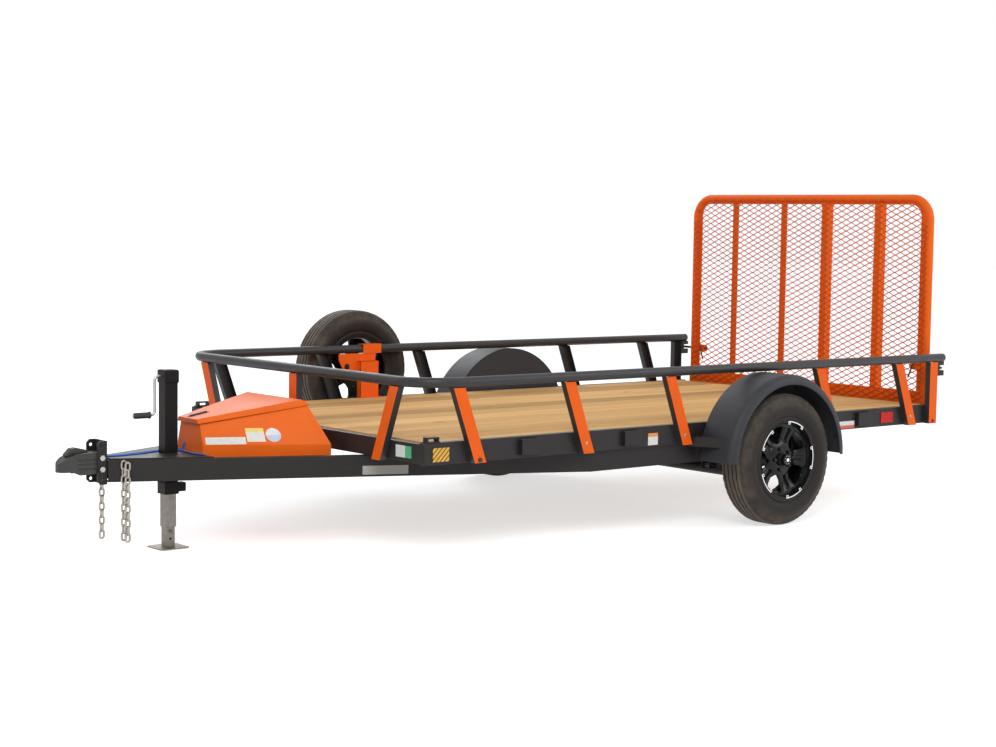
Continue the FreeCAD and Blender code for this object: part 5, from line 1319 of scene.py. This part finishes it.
def expanded_mesh():
    """Slit and stretched sheet: slanted strands that meet in thick bonds, in rows of diamonds."""
    long_way, short_way = 0.076, 0.034
    bond, strand_wide, strand_thick, strand_tilt = 0.0038, 0.0056, 0.0022, 0.55
    front = mesh_low.x + 0.0025
    low_y, high_y = mesh_low.y + 0.002, mesh_high.y - 0.002
    low_z, high_z = mesh_low.z + 0.003, mesh_high.z - 0.003
    rows = int((high_z - low_z) / (short_way / 2)) + 1
    columns = int((high_y - low_y) / long_way) + 2
    out = Vector((1, 0, 0))
    bars = []

    def inside(place):
        """True where the hoop's rounded corners leave room for the mesh."""
        out_y = abs(place.y) - (gate_y - gate_bend)
        out_z = place.z - (gate_z - gate_bend)
        return out_y < 0 or out_z < 0 or math.hypot(out_y, out_z) < gate_bend - 0.012

    def bar(start, end, wide, tilt):
        """One strand: a flat bar turned about its own length."""
        if not (inside(start) and inside(end)):
            return
        flat = (end - start).normalized().cross(out).normalized()
        face_way = flat * math.cos(tilt) + out * math.sin(tilt)
        depth_way = out * math.cos(tilt) - flat * math.sin(tilt)
        corners = [place + face_way * across * wide / 2 + depth_way * deep * strand_thick / 2
                   for place in (start, end) for across, deep in ((-1, -1), (1, -1), (1, 1), (-1, 1))]
        bars.append((corners, quads(2, 4) + [(3, 2, 1, 0), (4, 5, 6, 7)]))

    for row in range(rows):
        z = low_z + row * short_way / 2
        for column in range(-1, columns):
            y = low_y + (column + 0.5 * (row % 2)) * long_way
            if low_y - 0.001 <= y <= high_y:
                start = Vector((front, max(low_y, y - bond), z))
                end = Vector((front, min(high_y, y + bond), z))
                if end.y - start.y > 0.004:
                    bar(start, end, strand_wide * 1.35, 0.0)
            if row == rows - 1:
                continue
            for way in (-1, 1):
                begin = Vector((front, y + way * bond * 0.7, z))
                finish = Vector((front, y + way * (long_way / 2 - bond * 0.7), z + short_way / 2))
                if min(begin.y, finish.y) >= low_y and max(begin.y, finish.y) <= high_y:
                    bar(begin, finish, strand_wide * (1.0 + 0.2 * way), strand_tilt)
    return joined(bars)


# The mesh is the gate's orange made much darker, as painted shade on its strands, and takes a little paler orange
# on what faces up as painted light.
mesh_orange_shaded = powder_coat("mesh_orange_shaded", (0.66, 0.098, 0.004, 1), 0.5, 0.08, 0.04, orange_top_light)
add_piece("gate_expanded_mesh", expanded_mesh(), mesh_orange_shaded, "gate", "orange_paint", "gate_mesh")

# Gate latches: a spring pin in each side of the hoop, with a bent pull rod, that goes into a slotted
# keeper on the rear post. Keepers, rods, pin ends and the hinge lugs below are coated black.

latch_pins = softened("gate_latches", "gate_latch_pins", gate_orange, 0.001)
latch_pins.data.materials.append(frame_black)
for face in latch_pins.data.polygons:
    if abs(face.center.y) > gate_y or abs(face.center.y) < gate_y - 0.1:
        face.material_index = 1
fit(latch_pins, "gate", "zinc", "gate_latches")
pull_rods = []
for side in (1, -1):
    rod_path = rounded([(gate_x + 0.012, side * (gate_y - 0.066), 0.772),
                        (gate_x + 0.026, side * (gate_y - 0.072), 0.770),
                        (gate_x + 0.026, side * (gate_y - 0.104), 0.690)], 0.012, 6)
    pull_rods.append(swept(rod_path, 0.0042, 12, (1, 0, 0), cap=0.003))
add_piece("gate_latch_pulls", joined(pull_rods), frame_black, "gate", "zinc")
keeper_blocks = []
for side in (1, -1):
    low_y, high_y = sorted((side * (bed_side + 0.002), side * (bed_side + 0.032)))
    for x_from, x_to, z_from, z_to in ((-1.525, -1.464, 0.774, 0.796), (-1.525, -1.464, 0.714, 0.745),
                                       (-1.487, -1.464, 0.743, 0.776)):
        keeper_blocks.append(box_shape((x_from + axle_x, low_y, z_from), (x_to + axle_x, high_y, z_to)))
fit(rounded_blocks("latch_keeper_blocks", keeper_blocks, frame_black, 0.0012), "frame", "black_paint",
    "latch_keepers")
from_solid("gate_hinges", "gate_hinge_lugs", frame_black, "frame", "black_paint", 0.0008, 1, 50)

# Lamps: moulded acrylic markers and reflectors on the posts and channels, and oval tail lamps in the
# rear channel. The reflector at each front corner shows striped tape, and the side markers are black.


def lens(name, colour, cell):
    """Coloured acrylic over a prismatic reflector."""
    material, tree, surface = shader(name)
    place = own_place(tree)
    cells = node(tree, "ShaderNodeTexVoronoi", {"Vector": place, "Scale": cell, "Randomness": 0.0},
                 feature="DISTANCE_TO_EDGE")
    edge = spread(tree, cells.outputs["Distance"], 0.0, 0.25, 0.0, 1.0)
    feed(tree, surface, {"Base Color": mixed(tree, edge, shade(colour, 0.55), colour),
                         "Roughness": spread(tree, cloudy(tree, place, 20.0, 5.0), 0.3, 0.7, 0.12, 0.22),
                         "Normal": relief(tree, edge, 0.3, 0.0008),
                         "Specular IOR Level": 0.22})
    return material


def striped(name, colour):
    """Reflective tape under acrylic: bright bands at a slant, with dark bands between them."""
    material, tree, surface = shader(name)
    place = own_place(tree)
    slanted = node(tree, "ShaderNodeVectorMath", {0: place, 1: (1.0, 0.0, 1.0)}, operation="DOT_PRODUCT")
    pitch = worked_out(tree, "PINGPONG", slanted.outputs["Value"], 0.0125)
    tint = mixed(tree, spread(tree, pitch, 0.0028, 0.0042, 0.0, 1.0), (0.03, 0.024, 0.012, 1), colour)
    cells = node(tree, "ShaderNodeTexVoronoi", {"Vector": place, "Scale": 300.0, "Randomness": 0.2})
    facets = spread(tree, cells.outputs["Distance"], 0.0, 0.6, 1.0, 0.72)
    toned = node(tree, "ShaderNodeHueSaturation", {"Value": facets, "Color": tint})
    feed(tree, surface, {"Base Color": toned.outputs["Color"], "Roughness": facets,
                         "Coat Weight": 0.6, "Coat Roughness": 0.08})
    return material


striped_tape = striped("striped_reflector", (0.95, 0.5, 0.012, 1))
lenses = softened("amber_lenses", "amber_reflectors", striped_tape, 0.0012)
lenses.data.materials.append(black_plastic)
taped_x = 2.108 + axle_x
for face in lenses.data.polygons:
    if abs(face.center.x - taped_x) >= 0.08:
        face.material_index = 1
fit(lenses, "frame", "amber_lens", "amber_lenses")
red_lens = lens("red_lens", (0.72, 0.003, 0.003, 1), 260.0)
from_solid("red_lenses", "red_reflectors", red_lens, "frame", "red_lens", 0.0012)

# Wiring: a braided blue cable and two thin wires that lie on the tongue plate and pass the jack. The
# cable goes into the left beam, and the wires are held up the front of the toolbox and go into it.

cable_blue = moulded("cable_blue", (0.02, 0.12, 0.46, 1), 0.5)
cable_low, cable_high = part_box("wiring")
cable_z = (cable_low.z + cable_high.z) / 2


def wire_run(name, route, thick, *cad_nodes):
    """Fits a wire through the points of its route, as one smooth curve."""
    wire_data = bpy.data.curves.new(name, "CURVE")
    wire_data.dimensions = "3D"
    line = wire_data.splines.new("NURBS")
    line.points.add(len(route) - 1)
    for point, (x, y, z) in zip(line.points, route):
        point.co = (x + axle_x, y, z, 1)
    line.order_u = 3
    line.use_endpoint_u = True
    wire_data.bevel_depth = thick / 2
    wire_data.bevel_resolution = 4
    wire_data.resolution_u = 16
    wire_data.use_fill_caps = True
    wire_data.materials.append(cable_blue)
    wire = bpy.data.objects.new(name, wire_data)
    scene.collection.objects.link(wire)
    fit(wire, "frame", "cable_sheath", *cad_nodes)


cable_route = [(3.262, -0.006), (3.192, 0.002), (3.110, -0.014), (3.030, -0.026), (2.966, -0.052), (2.896, -0.056),
               (2.856, -0.018), (2.850, 0.060), (2.862, 0.130), (2.840, 0.196)]
wire_run("tongue_cable", [(x, y, cable_z) for x, y in cable_route], cable_high.z - cable_low.z, "wiring")
wire_thick = 0.0062
lying = cable_low.z + wire_thick / 2
near_wire = [(3.262, 0.008, lying), (3.192, 0.016, lying), (3.110, 0.000, lying), (3.036, -0.010, lying),
             (2.970, -0.040, lying), (2.900, -0.0425, lying), (2.850, -0.046, lying), (2.822, -0.046, lying),
             (2.8076, -0.048, lying + 0.004), (2.8074, -0.052, 0.462), (2.8074, -0.050, 0.486),
             (2.801, -0.050, 0.494)]
far_wire = [(3.262, -0.020, lying), (3.192, -0.012, lying), (3.110, -0.028, lying), (3.040, -0.040, lying),
            (2.974, -0.066, lying), (2.900, -0.070, lying), (2.850, -0.066, lying), (2.824, -0.062, lying),
            (2.8076, -0.060, lying + 0.004), (2.8074, -0.064, 0.460), (2.8074, -0.060, 0.474),
            (2.801, -0.060, 0.481)]
wire_run("tongue_wire_near", near_wire, wire_thick)
wire_run("tongue_wire_far", far_wire, wire_thick)
